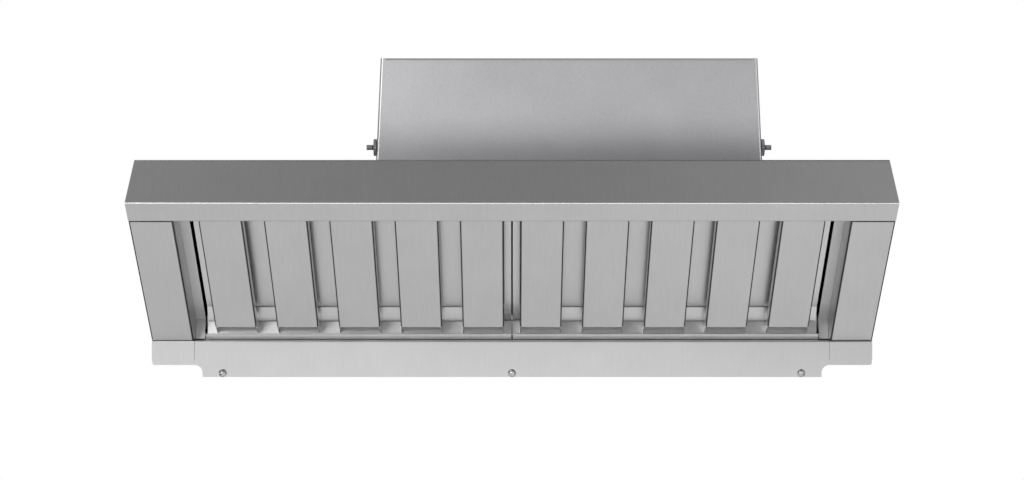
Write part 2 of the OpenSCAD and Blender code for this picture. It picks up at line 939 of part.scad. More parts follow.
// What a drain opening takes out of the bottom rail, with rounded lower corners
module drain_opening(from) {
    half = baffle_gap / 2 + drain_over;
    to = strip_from + filter_t;
    translate([0, 0, filter_set - clear])
        linear_extrude(baffle_leg + filter_t + 2 * clear) {
            translate([-half, from - clear])
                square([2 * half, to - from + clear - drain_r]);
            translate([drain_r - half, from])
                square([2 * half - 2 * drain_r, to - from]);
            for (x = [drain_r - half, half - drain_r])
                translate([x, to - drain_r])
                    circle(drain_r);
        }
}

// The plate that joins the bottom rail to the rear plate at one side of the filter
module frame_end(x) {
    translate([x, groove_end, groove_n - filter_t])
        cube([filter_t, filter_end - groove_end, filter_back - groove_n + filter_t]);
    translate([x, strip_from + filter_t, filter_set + filter_t / 2])
        cube([filter_t, rail_strip - filter_t, baffle_leg]);
}

// The post that carries the groove's bottom behind a front baffle
module frame_post(from) {
    half = baffle_w / 2 - rear_lap - clear;
    sunk = filter_t / 2;
    translate([-half, from + filter_t, groove_n + sunk])
        cube([2 * half, filter_t, filter_back - groove_n - filter_t]);
}

// A channel of the frame seen end on, open to the right
module frame_channel(strip, depth) {
    translate([strip, depth])
        rotate(180)
            folded([strip, depth, strip], [90, 90], filter_t, filter_r);
}

// One front baffle: a channel open to the back, with its lower end folded in and a tab at the top
module front_baffle() {
    bend = filter_t + filter_r;
    end_leg = 8;
    down_slope(baffle_top, baffle_end - bend)
        translate([0, groove_n])
            rotate(-90)
                folded([baffle_leg, baffle_w, baffle_leg], [90, 90], filter_t, filter_r);
    across(bend, baffle_w - bend)
        translate([filter_top, filter_set])
            folded([baffle_end - filter_top, end_leg], [90], filter_t, filter_r);
}

module front_baffles() {
    on_slope()
        for (k = [0:baffle_n - 1])
            translate([filter_x + side_strip + k * baffle_pitch, 0, 0])
                front_baffle();
}

// One rear baffle: a channel open to the front, which drains past the filter's lower end
module rear_baffle() {
    w = baffle_gap + 2 * rear_lap;
    translate([-w / 2, 0, 0])
        down_slope(filter_top + filter_t + filter_r, filter_end)
            translate([w, rear_floor + filter_t - rear_leg])
                rotate(90)
                    folded([rear_leg, w, rear_leg], [90, 90], filter_t, filter_r);
}

module rear_baffles() {
    on_slope()
        for (k = [1:baffle_n - 1])
            translate([filter_x + side_strip + k * baffle_pitch - baffle_gap / 2, 0, 0])
                rear_baffle();
}

module filter_frame_left() {
    color(stainless) placed() mirror([1, 0, 0]) filter_frame();
}

module front_baffles_left() {
    color(stainless) placed() mirror([1, 0, 0]) front_baffles();
}

module rear_baffles_left() {
    color(stainless) placed() mirror([1, 0, 0]) rear_baffles();
}

module filter_frame_right() {
    color(stainless) placed() filter_frame();
}

module front_baffles_right() {
    color(stainless) placed() front_baffles();
}

module rear_baffles_right() {
    color(stainless) placed() rear_baffles();
}

// The collar round the outlet, with a bracket for a stud at each front corner
module outlet_collar() {
    half = outlet_w / 2;
    color(stainless) placed()
        translate([outlet_x, 0, body_h]) {
            difference() {
                union() {
                    translate([-half - sheet_t, outlet_y - sheet_t, 0])
                        cube([outlet_w + 2 * sheet_t, outlet_d + 2 * sheet_t, collar_h]);
                    translate([-half - collar_foot, outlet_y - sheet_t, 0])
                        cube([outlet_w + 2 * collar_foot, outlet_d + sheet_t + collar_foot, sheet_t]);
                }
                translate([-half, outlet_y, -clear])
                    cube([outlet_w, outlet_d, collar_h + 2 * clear]);
            }
            for (side = [0, 1])
                mirror([side, 0, 0])
                    stud_bracket();
        }
}

// The bracket for the right-hand stud: an upright, its foot and the wing that joins the collar
module stud_bracket() {
    half = outlet_w / 2;
    from = pivot_y - bracket_w / 2;
    difference() {
        across(collar_half - sheet_t, collar_half) {
            translate([from, 0])
                square([bracket_w, pivot_up]);
            translate([pivot_y, pivot_up])
                circle(d = bracket_w);
        }
        translate([collar_half - 2 * sheet_t, pivot_y, pivot_up])
            rotate([0, 90, 0])
                cylinder(d = stud_d, h = 3 * sheet_t);
    }
    translate([half, outlet_y - sheet_t, 0])
        cube([collar_half - half, sheet_t, collar_h]);
    translate([half, from, 0])
        cube([collar_half - half, bracket_w, sheet_t]);
}

// The finger guard in the outlet: wires across it, carried by cross wires under them
module outlet_guard() {
    half = outlet_w / 2;
    cross_at = 0.7;
    weld = 0.2;
    color(bright_steel) placed()
        translate([outlet_x, outlet_y, body_h + collar_h / 2]) {
            for (k = [1:guard_n])
                translate([-half, k * outlet_d / (guard_n + 1), 0])
                    rotate([0, 90, 0])
                        cylinder(d = guard_wire, h = outlet_w);
            for (k = [-1, 0, 1])
                translate([k * cross_at * half, 0, weld * guard_wire - guard_wire])
                    rotate([-90, 0, 0])
                        cylinder(d = guard_wire, h = outlet_d);
        }
}

// One half of the cowl: half of the front plate and a cheek, which lean with the edge between them
module cowl_half_shell() {
    spare = cowl_half * sin(cowl_lean) + clear;
    translate([cowl_half, 0, 0])
        rotate([0, -cowl_lean, 0])
            translate([-cowl_half - spare, -pivot_in, -cowl_low - spare])
                linear_extrude(cowl_low + cowl_high + 2 * spare)
                    folded([cowl_half + spare, cowl_side], [90], sheet_t, cowl_bend - sheet_t);
}

// The side view of the cowl's cheeks about the pivot
module cowl_outline() {
    front = -pivot_in - clear;
    back = cowl_side - pivot_in;
    rise = 40;
    shoulder = 0.55 * cowl_high;
    circle(cowl_low);
    polygon([
        [front, -cowl_low],
        [0, -cowl_low],
        [cowl_low * sin(rise), -cowl_low * cos(rise)],
        [back, shoulder],
        [back, cowl_high],
        [front, cowl_high]
    ]);
}

// The cowl: a plate that shields the outlet from the front, with a cheek at each side
module cowl() {
    wide = cowl_half + cowl_edge;
    edge_half = cowl_half - 2 * cowl_bend;
    edge_top = edge_half - cowl_high * tan(cowl_lean);
    color(stainless) placed()
        translate([outlet_x, pivot_y, pivot_z]) {
            difference() {
                intersection() {
                    union() {
                        cowl_half_shell();
                        mirror([1, 0, 0])
                            cowl_half_shell();
                    }
                    across(-wide, wide)
                        cowl_outline();
                }
                translate([-wide, 0, 0])
                    rotate([0, 90, 0])
                        cylinder(d = stud_d + 2 * fit_gap, h = 2 * wide);
                translate([-edge_half, -pivot_in - clear, -cowl_low - clear])
                    cube([2 * edge_half, cowl_edge + clear, cowl_bend + clear]);
                translate([-edge_top, -pivot_in - clear, cowl_high - cowl_bend])
                    cube([2 * edge_top, cowl_edge + clear, cowl_bend + clear]);
            }
            across(-edge_half, edge_half)
                translate([cowl_edge - pivot_in, -cowl_low])
                    mirror([1, 0])
                        cowl_fold();
            across(-edge_top, edge_top)
                translate([cowl_edge - pivot_in, cowl_high])
                    rotate(180)
                        cowl_fold();
        }
}

// A stiffening edge of the cowl seen end on: a short run, then its bend into the plate
module cowl_fold() {
    folded([cowl_edge, cowl_bend], [90], sheet_t, cowl_bend - sheet_t);
}

// Places of the cowl's studs, pointing out to each side from the middle
module stud_places() {
    for (side = [0, 1])
        translate([outlet_x, pivot_y, pivot_z])
            mirror([side, 0, 0])
                rotate([0, 90, 0])
                    children();
}

// The threaded studs that the cowl turns on, each with a shoulder inside the cheek
module cowl_studs() {
    from = collar_half - sheet_t;
    cheek_in = cowl_half - sheet_t / cos(cowl_lean) - shoulder_d / 2 * tan(cowl_lean);
    tip = disc_x + disc_t + ring_t + cap_l - clear;
    color(bright_steel) placed()
        stud_places() {
            translate([0, 0, collar_half])
                cylinder(d = shoulder_d, h = cheek_in - fit_gap - collar_half);
            translate([0, 0, from])
                cylinder(d = stud_d, h = tip - from);
        }
}

// The discs that clamp the cheeks to the studs' shoulders
module clamp_discs() {
    color(bright_steel) placed()
        stud_places()
            stud_sleeve(disc_x, disc_d, disc_t);
}

// A sleeve on the stud
module stud_sleeve(from, d, l) {
    translate([0, 0, from])
        difference() {
            cylinder(d = d, h = l);
            translate([0, 0, -clear])
                cylinder(d = stud_d, h = l + 2 * clear);
        }
}

module clamp_rings() {
    color(rubber) placed()
        stud_places()
            stud_sleeve(disc_x + disc_t, ring_d, ring_t);
}

// The sleeve nuts, closed at their outer ends
module sleeve_nuts() {
    from = disc_x + disc_t + ring_t;
    color(bright_steel) placed()
        stud_places()
            difference() {
                translate([0, 0, from])
                    cylinder(d = cap_d, h = cap_l);
                cylinder(d = stud_d, h = from + cap_l - clear);
            }
}

// The chamber round the fan, open to the outlet above, with the inlet wall across it
module fan_chamber() {
    tall = cover_z - tray_z;
    wall_x = chamber_half - sheet_t;
    color(dull_steel) placed()
        translate([outlet_x, 0, 0])
            difference() {
                union() {
                    for (y = [chamber_y, inlet_y])
                        translate([-chamber_half, y, tray_z])
                            cube([2 * chamber_half, sheet_t, tall]);
                    for (side = [0, 1])
                        mirror([side, 0, 0])
                            translate([wall_x, chamber_y, tray_z])
                                cube([sheet_t, chamber_end - chamber_y, tall]);
                }
                translate([0, inlet_y - clear, fan_z])
                    rotate([-90, 0, 0])
                        cylinder(d = eye_d + 2 * mouth_gap, h = sheet_t + 2 * clear);
                translate([wall_x - clear, tube_y, tube_z])
                    rotate([0, 90, 0])
                        cylinder(d = pipe_d + 2 * fit_gap, h = sheet_t + 2 * clear);
            }
}

// The rounded mouth that leads air into the fan wheel's eye
module inlet_ring() {
    throat = eye_d / 2 - run_gap - sheet_t;
    mouth = eye_d / 2 + mouth_gap - fit_gap;
    into_eye = 4;
    flange = 14;
    reach = wheel_gap + into_eye;
    round_r = mouth - throat;
    color(dull_steel) placed()
        translate([outlet_x, inlet_y, fan_z])
            rotate([-90, 0, 0])
                rotate_extrude() {
                    translate([throat, -reach])
                        square([sheet_t, reach - round_r + sheet_t]);
                    translate([mouth, sheet_t - round_r])
                        arc_band(round_r - sheet_t, sheet_t, 90, 180);
                    translate([mouth, sheet_t])
                        square([flange, sheet_t]);
                    translate([mouth - sheet_t, 0])
                        square([sheet_t, 2 * sheet_t]);
                }
}

// The fan wheel: back disc with hub, curved blades and the front ring round the eye
module fan_wheel() {
    r = wheel_d / 2;
    color(aluminium) placed()
        translate([outlet_x, wheel_front, fan_z])
            rotate([-90, 0, 0]) {
                difference() {
                    union() {
                        cylinder(r = r, h = wheel_t);
                        cylinder(d = hub_d, h = hub_l);
                    }
                    translate([0, 0, -clear])
                        cylinder(d = axle_d, h = hub_l + 2 * clear);
                }
                for (k = [0:blade_n - 1])
                    rotate(k * 360 / blade_n)
                        translate([0, 0, wheel_t])
                            linear_extrude(blade_w)
                                blade();
                translate([0, 0, wheel_t + blade_w])
                    difference() {
                        cylinder(r = r, h = wheel_t);
                        translate([0, 0, -clear])
                            cylinder(d = eye_d, h = wheel_t + 2 * clear);
                    }
            }
}

// A blade of the fan wheel seen along the axle: an arc between the eye and the rim
module blade() {
    r = wheel_d / 2;
    blade_r = 0.6 * r;
    intersection() {
        translate([0.5 * r, -0.4 * r])
            difference() {
                circle(blade_r);
                circle(blade_r - wheel_t);
            }
        difference() {
            circle(r - clear);
            circle(eye_d / 2 + clear);
        }
        square([wheel_d, wheel_d]);
    }
}

module fan_axle() {
    into_motor = 20;
    color(bright_steel) placed()
        translate([outlet_x, wheel_front - into_motor, fan_z])
            rotate([-90, 0, 0])
                cylinder(d = axle_d, h = into_motor + hub_l);
}

// The motor in front of the fan wheel: foot flange, ribbed can and nose
module fan_motor() {
    foot = 4;
    nose = 6;
    rib = 4;
    rib_h = 3;
    bore = 22;
    color(black_plastic) placed()
        translate([outlet_x, motor_y, fan_z])
            rotate([-90, 0, 0])
                difference() {
                    union() {
                        cylinder(d = motor_d + 4 * foot, h = foot);
                        cylinder(d = motor_d - 2 * rib_h, h = motor_l - nose);
                        for (k = [1:5])
                            translate([0, 0, foot + (2 * k - 1) * rib])
                                cylinder(d = motor_d, h = rib);
                        cylinder(d = motor_d / 2, h = motor_l);
                    }
                    translate([0, 0, motor_l - bore])
                        cylinder(d = axle_d + 2 * fit_gap, h = bore + clear);
                }
}

// The bracket that carries the motor from the chamber's front wall
module motor_bracket() {
    foot = 20;
    plate = 80;
    tall = 90;
    depth = motor_y - chamber_y - 2 * sheet_t;
    color(dull_steel) placed()
        translate([outlet_x - plate / 2 - foot, chamber_y + sheet_t, fan_z - tall / 2])
            linear_extrude(tall)
                folded([foot, depth, plate, depth, foot], [90, -90, -90, 90], sheet_t, bend_r);
}

module condenser_fins() {
    span = 2 * fins_half - 8 * plate_t;
    color(aluminium) placed()
        translate([outlet_x, condenser_y, 0])
            for (k = [0:fin_n - 1])
                translate([-span / 2 + k * (span - fin_t) / (fin_n - 1), 0, 0])
                    rotate([90, 0, 90])
                        linear_extrude(fin_t)
                            difference() {
                                translate([0, fin_z])
                                    square([fin_d, fin_h]);
                                for (row = [0:tube_n - 1])
                                    translate([fin_d / 2, tube_z + row * tube_pitch])
                                        circle(d = tube_d);
                            }
}

// The tube that runs to and fro through the fins, joined by bends outside the plates
module condenser_tube() {
    color(copper) placed()
        translate([outlet_x, tube_y, tube_z]) {
            for (row = [0:tube_n - 1])
                translate([-fins_half, 0, row * tube_pitch])
                    rotate([0, 90, 0])
                        cylinder(d = tube_d, h = 2 * fins_half);
            for (row = [0:tube_n - 2])
                mirror([1 - row % 2, 0, 0])
                    translate([fins_half, 0, (row + 0.5) * tube_pitch])
                        rotate([90, 0, 0])
                            rotate(-90)
                                rotate_extrude(angle = 180)
                                    translate([tube_pitch / 2, 0])
                                        circle(d = tube_d);
        }
}

// The two plates that carry the tubes inside the chamber's walls
module condenser_plates() {
    plate_x = fins_half - 2 * plate_t;
    color(dull_steel) placed()
        translate([outlet_x, condenser_y, 0])
            for (side = [0, 1])
                mirror([side, 0, 0]) {
                    difference() {
                        translate([plate_x, 0, tray_z])
                            cube([plate_t, fin_d, cover_z - tray_z]);
                        for (row = [0:tube_n - 1])
                            translate([plate_x - clear, fin_d / 2, tube_z + row * tube_pitch])
                                rotate([0, 90, 0])
                                    cylinder(d = tube_d, h = plate_t + 2 * clear);
                    }
                    translate([plate_x, 0, tray_z])
                        cube([condenser_half - plate_x, fin_d, plate_t]);
                }
}

// The collar that slips over the oven's vent
module steam_collar() {
    flange = 14;
    color(stainless) placed()
        translate([steam_x, steam_y, 0])
            rotate_extrude() {
                translate([steam_r, 0])
                    square([pipe_wall, tray_z + steam_h]);
                translate([steam_r, tray_z])
                    square([pipe_wall + flange, sheet_t]);
            }
}

module steam_gasket() {
    gasket = 10;
    color(rubber) placed()
        translate([steam_x, steam_y, 0])
            rotate_extrude()
                translate([steam_r + pipe_wall, 0])
                    square([gasket, strip_h]);
}

// The drain spigot through the back panel and the tray's rear rim, with a flange inside
module drain_spigot() {
    flange_at = spigot_out + 2 * sheet_t;
    flange_t = 2;
    color(stainless) placed()
        translate([drain_x, body_d + spigot_out, drain_z])
            rotate([90, 0, 0])
                difference() {
                    union() {
                        cylinder(d = drain_d, h = spigot_out);
                        translate([0, 0, spigot_out])
                            cylinder(d = drain_d + 2 * spigot_step, h = 2 * sheet_t + flange_t);
                        translate([0, 0, flange_at])
                            cylinder(d = drain_d + 2 * drain_flange, h = flange_t);
                    }
                    translate([0, 0, -clear])
                        cylinder(d = drain_d - 2 * pipe_wall, h = flange_at + flange_t + 2 * clear);
                }
}

// The water inlet's threaded spigot, with a flange inside the back panel
module water_inlet() {
    flange_at = spigot_out + sheet_t;
    flange_w = 6;
    wall = 4;
    color(brass) placed()
        translate([water_x, body_d + spigot_out, water_z])
            rotate([90, 0, 0])
                difference() {
                    union() {
                        cylinder(d = water_d, h = spigot_out);
                        translate([0, 0, spigot_out])
                            cylinder(d = water_d + 2 * spigot_step, h = sheet_t + inlet_flange);
                        translate([0, 0, flange_at])
                            cylinder(d = water_d + 2 * flange_w, h = inlet_flange);
                    }
                    translate([0, 0, -clear])
                        cylinder(d = water_d - 2 * wall, h = flange_at + inlet_flange + 2 * clear);
                }
}

// The solenoid valve behind the water inlet: block, coil and plug
module water_valve() {
    block_w = 36;
    block_h = 32;
    coil_d = 34;
    coil_h = 40;
    plug = 20;
    plug_h = 10;
    color(black_plastic) placed()
        translate([water_x, valve_y - valve_d / 2, water_z]) {
            translate([-block_w / 2, -valve_d / 2, -block_h / 2])
                cube([block_w, valve_d, block_h]);
            translate([0, 0, block_h / 2])
                cylinder(d = coil_d, h = coil_h);
            translate([-plug / 2, -plug / 2, block_h / 2 + coil_h])
                cube([plug, plug, plug_h]);
        }
}

// The pipe from the valve to the condenser's lowest pass: forwards, down and in through the wall
module water_pipe() {
    long = valve_y - valve_d - tube_y - pipe_r;
    drop = water_z - tube_z - 2 * pipe_r;
    reach = water_x - outlet_x - fins_half - pipe_r;
    color(copper) placed()
        translate([water_x, tube_y, 0]) {
            translate([0, pipe_r + long, water_z])
                rotate([90, 0, 0])
                    cylinder(d = pipe_d, h = long);
            translate([0, pipe_r, water_z - pipe_r])
                rotate([0, -90, 180])
                    pipe_bend();
            translate([0, 0, tube_z + pipe_r])
                cylinder(d = pipe_d, h = drop);
            translate([-pipe_r, 0, tube_z + pipe_r])
                rotate([90, 0, 0])
                    rotate(-90)
                        pipe_bend();
            translate([-pipe_r, 0, tube_z])
                rotate([0, -90, 0])
                    cylinder(d = pipe_d, h = reach);
        }
}

// A quarter bend of the water pipe about z, from the x axis to the y axis
module pipe_bend() {
    rotate_extrude(angle = 90)
        translate([pipe_r, 0])
            circle(d = pipe_d);
}

module control_box() {
    color(dull_steel) placed()
        translate([box_x - box_w / 2, box_y, box_z])
            difference() {
                cube([box_w, box_d, box_h]);
                translate([box_t, box_t, box_t])
                    cube([box_w - 2 * box_t, box_d - 2 * box_t, box_h]);
                translate([box_w / 2, box_d, box_h / 2])
                    rear_hole(gland_d);
            }
}

module control_lid() {
    color(stainless) placed()
        translate([box_x - box_w / 2, box_y, box_z + box_h])
            cube([box_w, box_d, box_t]);
}

module terminal_block() {
    long = 80;
    wide = 24;
    tall = 26;
    ways = 5;
    hole_d = 7;
    pitch = 15;
    color(pale_plastic) placed()
        translate([box_x, box_y + 2 * wide, box_z + box_t])
            difference() {
                translate([-long / 2, -wide / 2, 0])
                    cube([long, wide, tall]);
                for (k = [0:ways - 1])
                    translate([(k - (ways - 1) / 2) * pitch, 0, tall / 2])
                        cylinder(d = hole_d, h = tall);
            }
}

// The cable gland through the back panel and the box: thread, hexagon, dome nut and mouth
module cable_gland() {
    thread = 10;
    hex_h = 7;
    dome_h = 10;
    mouth_h = 4;
    mouth_in = 5;
    color(black_plastic) placed()
        translate([box_x, body_d, gland_z])
            rotate([-90, 0, 0])
                difference() {
                    union() {
                        translate([0, 0, -thread])
                            cylinder(d = gland_d, h = thread);
                        cylinder(d = gland_af / cos(30), h = hex_h, $fn = 6);
                        cylinder(d = gland_af, h = hex_h + dome_h);
                        cylinder(d = gland_af - mouth_in, h = hex_h + dome_h + mouth_h);
                    }
                    translate([0, 0, -thread - clear])
                        cylinder(d = gland_bore, h = thread + hex_h + dome_h + mouth_h + 2 * clear);
                }
}

module gland_nut() {
    tall = 5;
    color(black_plastic) placed()
        translate([box_x, back_y - box_t, gland_z])
            rotate([90, 0, 0])
                difference() {
                    cylinder(d = gland_af / cos(30), h = tall, $fn = 6);
                    translate([0, 0, -clear])
                        cylinder(d = gland_d, h = tall + 2 * clear);
                }
}

visor();
end_cheek_left();
end_cheek_right();
filter_guide_left();
filter_guide_right();
top_rail();
gutter();
front_tab();
ear_left();
ear_right();
tab_screws();
base_tray();
roof_strips();
side_wall_left();
side_wall_right();
rear_panel();
top_cover();
cover_screws();
rear_screws();
filter_frame_left();
front_baffles_left();
rear_baffles_left();
filter_frame_right();
front_baffles_right();
rear_baffles_right();
outlet_collar();
outlet_guard();
cowl();
cowl_studs();
clamp_discs();
clamp_rings();
sleeve_nuts();
fan_chamber();
inlet_ring();
fan_wheel();
fan_axle();
fan_motor();
motor_bracket();
condenser_fins();
condenser_tube();
condenser_plates();
steam_collar();
steam_gasket();
drain_spigot();
water_inlet();
water_valve();
water_pipe();
control_box();
control_lid();
terminal_block();
cable_gland();
gland_nut();
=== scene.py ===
import json
import math

import bmesh
import bpy
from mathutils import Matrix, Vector


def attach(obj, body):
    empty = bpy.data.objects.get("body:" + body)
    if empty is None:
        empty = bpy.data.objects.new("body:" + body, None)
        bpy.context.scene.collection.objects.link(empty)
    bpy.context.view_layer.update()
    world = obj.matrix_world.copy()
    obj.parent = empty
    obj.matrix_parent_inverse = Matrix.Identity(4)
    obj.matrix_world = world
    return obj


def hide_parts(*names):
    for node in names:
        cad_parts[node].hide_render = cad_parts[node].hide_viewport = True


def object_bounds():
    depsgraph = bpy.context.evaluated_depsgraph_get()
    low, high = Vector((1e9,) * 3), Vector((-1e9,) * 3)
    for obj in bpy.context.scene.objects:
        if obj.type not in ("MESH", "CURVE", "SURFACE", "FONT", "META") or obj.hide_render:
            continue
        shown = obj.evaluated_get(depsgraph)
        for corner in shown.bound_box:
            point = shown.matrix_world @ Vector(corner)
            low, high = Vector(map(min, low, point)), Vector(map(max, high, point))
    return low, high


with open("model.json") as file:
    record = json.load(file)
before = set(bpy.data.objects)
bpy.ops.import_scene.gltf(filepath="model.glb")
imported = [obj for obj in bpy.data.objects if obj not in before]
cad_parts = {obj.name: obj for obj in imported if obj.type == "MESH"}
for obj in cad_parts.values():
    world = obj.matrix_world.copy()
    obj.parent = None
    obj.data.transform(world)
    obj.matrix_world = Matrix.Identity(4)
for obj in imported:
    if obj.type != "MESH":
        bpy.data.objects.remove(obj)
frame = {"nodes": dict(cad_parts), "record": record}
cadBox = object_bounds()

print("frame loaded:", len(frame["nodes"]), "CAD nodes")

mm = 0.001


def linearColour(hexCode):
    # sRGB hex, as a paint program shows it, to the linear values that a shader wants
    out = []
    for i in (1, 3, 5):
        v = int(hexCode[i:i + 2], 16) / 255
        out.append(v / 12.92 if v <= 0.04045 else ((v + 0.055) / 1.055) ** 2.4)
    return (*out, 1)


def addNode(tree, kind, settings, links=None):
    # settings are sockets by name or number, or the node's own options; links are sockets to plug in
    node = tree.nodes.new(kind)
    for key, value in settings.items():
        if isinstance(key, int) or key in node.inputs:
            node.inputs[key].default_value = value
        else:
            setattr(node, key, value)
    for key, socket in (links or {}).items():
        tree.links.new(socket, node.inputs[key])
    return node


def newMaterial(name):
    material = bpy.data.materials.new(name)
    material.use_nodes = True
    tree = material.node_tree
    tree.nodes.clear()
    return material, tree


def finishMaterial(tree, shader):
    addNode(tree, "ShaderNodeOutputMaterial", {}, {"Surface": shader.outputs[0]})


# Sheets of cold-rolled stainless steel, belt-ground to a fine grain: a metal with a soft mirror,
# short fine scratches along the grain and a slow cloudiness across the sheet
steelLook = {
    "grain": 1.3,              # mm across a scratch, coarser than the real 0.2 mm so that it shows
    "grainLength": 30,         # mm along a scratch
    "cloud": 60,               # mm across a cloudy patch
    "scratchShare": 0.6,       # the scratches' part in the tone; the clouds have the rest
    "noiseReach": (0.3, 0.7),  # where the noise's values lie
    "shade": 0.05,             # how much the scratches and clouds change the colour
    "roughSpread": 0.008,      # how much the scratches change the roughness
    "scratchDepth": 0.004,     # mm
    "bump": 0.6,               # how strongly their relief shows
    "metallic": 0.9,           # a thin film of wear scatters a little light
    "paintedBendShade": 0.88,         # painted shade: how much darker the bends are painted, standing in for the dark surroundings they mirror
    "bendAxis": "X",           # the axis that the bends' faces turn towards
    "bendFrom": (0.05, 0.22),  # how far they have turned where the shade starts, and where it is full
    "bendTo": (0.95, 0.995),   # how far where it stops being full, and where it ends
    "paintedFaceShade": 0,            # 1 where faces that look right along that axis get the painted shade too
}


def brushedSteel(name, colour, roughness, grainAlong, look=steelLook):
    material, tree = newMaterial(name)
    coordinates = addNode(tree, "ShaderNodeTexCoord", {})
    where = coordinates.outputs["Object"]
    fine = 1 / (look["grain"] * mm)
    slow = 1 / (look["grainLength"] * mm)
    # The scratches run down a slope, from front to rear, or upright
    stretch = {"slope": (fine, slow, slow), "depth": (fine, slow, fine), "height": (fine, fine, slow)}
    stretched = addNode(tree, "ShaderNodeMapping", {"Scale": stretch[grainAlong]}, {"Vector": where})
    scratches = addNode(tree, "ShaderNodeTexNoise", {"Scale": 1, "Detail": 3, "Roughness": 0.6},
                        {"Vector": stretched.outputs[0]}).outputs["Fac"]
    cloud = addNode(tree, "ShaderNodeTexNoise", {"Scale": 1 / (look["cloud"] * mm), "Detail": 2},
                    {"Vector": where}).outputs["Fac"]
    share = addNode(tree, "ShaderNodeMath", {"operation": "MULTIPLY", 1: look["scratchShare"]}, {0: scratches})
    mixed = addNode(tree, "ShaderNodeMath", {"operation": "MULTIPLY_ADD", 1: 1 - look["scratchShare"]},
                    {0: cloud, 2: share.outputs[0]})
    low, high = look["noiseReach"]
    tint = addNode(tree, "ShaderNodeMapRange", {"From Min": low, "From Max": high}, {"Value": mixed.outputs[0]})
    base = linearColour(colour)
    dark = tuple(c * (1 - look["shade"]) for c in base[:3]) + (1,)
    light = tuple(min(1, c * (1 + look["shade"])) for c in base[:3]) + (1,)
    ground = addNode(tree, "ShaderNodeMix", {"data_type": "RGBA", 6: dark, 7: light}, {0: tint.outputs[0]})

    # Painted shade: the bends, whose faces turn towards the bend axis, are painted darker towards black, standing in
    # for the dark surroundings they mirror
    facing = addNode(tree, "ShaderNodeSeparateXYZ", {}, {0: coordinates.outputs["Normal"]})
    turned = addNode(tree, "ShaderNodeMath", {"operation": "ABSOLUTE"}, {0: facing.outputs[look["bendAxis"]]})
    bent = addNode(tree, "ShaderNodeValToRGB", {}, {"Fac": turned.outputs[0]})
    stops = bent.color_ramp.elements
    stops.new(0.5)
    stops.new(0.5)
    places = (*look["bendFrom"], *look["bendTo"])
    for stop, place, value in zip(stops, places, (0, 1, 1, look["paintedFaceShade"])):
        stop.position = place
        stop.color = (value, value, value, 1)
    paintedBendShadeAmount = addNode(tree, "ShaderNodeMath", {"operation": "MULTIPLY", 1: look["paintedBendShade"]},
                         {0: bent.outputs["Color"]})
    shade = addNode(tree, "ShaderNodeMix", {"data_type": "RGBA", 7: (0, 0, 0, 1)},
                    {0: paintedBendShadeAmount.outputs[0], 6: ground.outputs[2]})

    rough = addNode(tree, "ShaderNodeMapRange", {"From Min": low, "From Max": high,
                                                 "To Min": roughness - look["roughSpread"],
                                                 "To Max": roughness + look["roughSpread"]}, {"Value": scratches})
    bump = addNode(tree, "ShaderNodeBump", {"Strength": look["bump"], "Distance": look["scratchDepth"] * mm},
                   {"Height": scratches})
    shader = addNode(tree, "ShaderNodeBsdfPrincipled", {"Metallic": look["metallic"]},
                     {"Base Color": shade.outputs[2], "Roughness": rough.outputs[0], "Normal": bump.outputs[0]})
    finishMaterial(tree, shader)
    return material


# Everything that isn't ground sheet: turned, cast, drawn or moulded, with its own fine unevenness
def fineGrained(name, colour, roughness, metallic, grain, depth, shade, bump=0.5):
    material, tree = newMaterial(name)
    where = addNode(tree, "ShaderNodeTexCoord", {}).outputs["Object"]
    unevenness = addNode(tree, "ShaderNodeTexNoise", {"Scale": 1 / (grain * mm), "Detail": 4}, {"Vector": where})
    base = linearColour(colour)
    dark = tuple(c * (1 - shade) for c in base[:3]) + (1,)
    tone = addNode(tree, "ShaderNodeMix", {"data_type": "RGBA", 6: dark, 7: base}, {0: unevenness.outputs["Fac"]})
    relief = addNode(tree, "ShaderNodeBump", {"Strength": bump, "Distance": depth * mm},
                     {"Height": unevenness.outputs["Fac"]})
    shader = addNode(tree, "ShaderNodeBsdfPrincipled", {"Metallic": metallic, "Roughness": roughness},
                     {"Base Color": tone.outputs[2], "Normal": relief.outputs[0]})
    finishMaterial(tree, shader)
    return material


# Hot-dip galvanised sheet: zinc crystals a centimetre across, each a slightly different grey
zincLook = {
    "colour": "#a9adb0",
    "roughness": 0.42,
    "roughSpread": 0.08,   # how much the roughness differs from crystal to crystal
    "shade": 0.2,          # how much darker the darkest one is
    "crystal": 9,          # mm
}


def galvanised(name, look):
    material, tree = newMaterial(name)
    where = addNode(tree, "ShaderNodeTexCoord", {}).outputs["Object"]
    crystals = addNode(tree, "ShaderNodeTexVoronoi", {"Scale": 1 / (look["crystal"] * mm)}, {"Vector": where})
    base = linearColour(look["colour"])
    dark = tuple(c * (1 - look["shade"]) for c in base[:3]) + (1,)
    tone = addNode(tree, "ShaderNodeMix", {"data_type": "RGBA", 6: dark, 7: base}, {0: crystals.outputs["Color"]})
    rough = addNode(tree, "ShaderNodeMapRange", {"To Min": look["roughness"] - look["roughSpread"],
                                                 "To Max": look["roughness"] + look["roughSpread"]},
                    {"Value": crystals.outputs["Color"]})
    shader = addNode(tree, "ShaderNodeBsdfPrincipled", {"Metallic": 1},
                     {"Base Color": tone.outputs[2], "Roughness": rough.outputs[0]})
    finishMaterial(tree, shader)
    return material


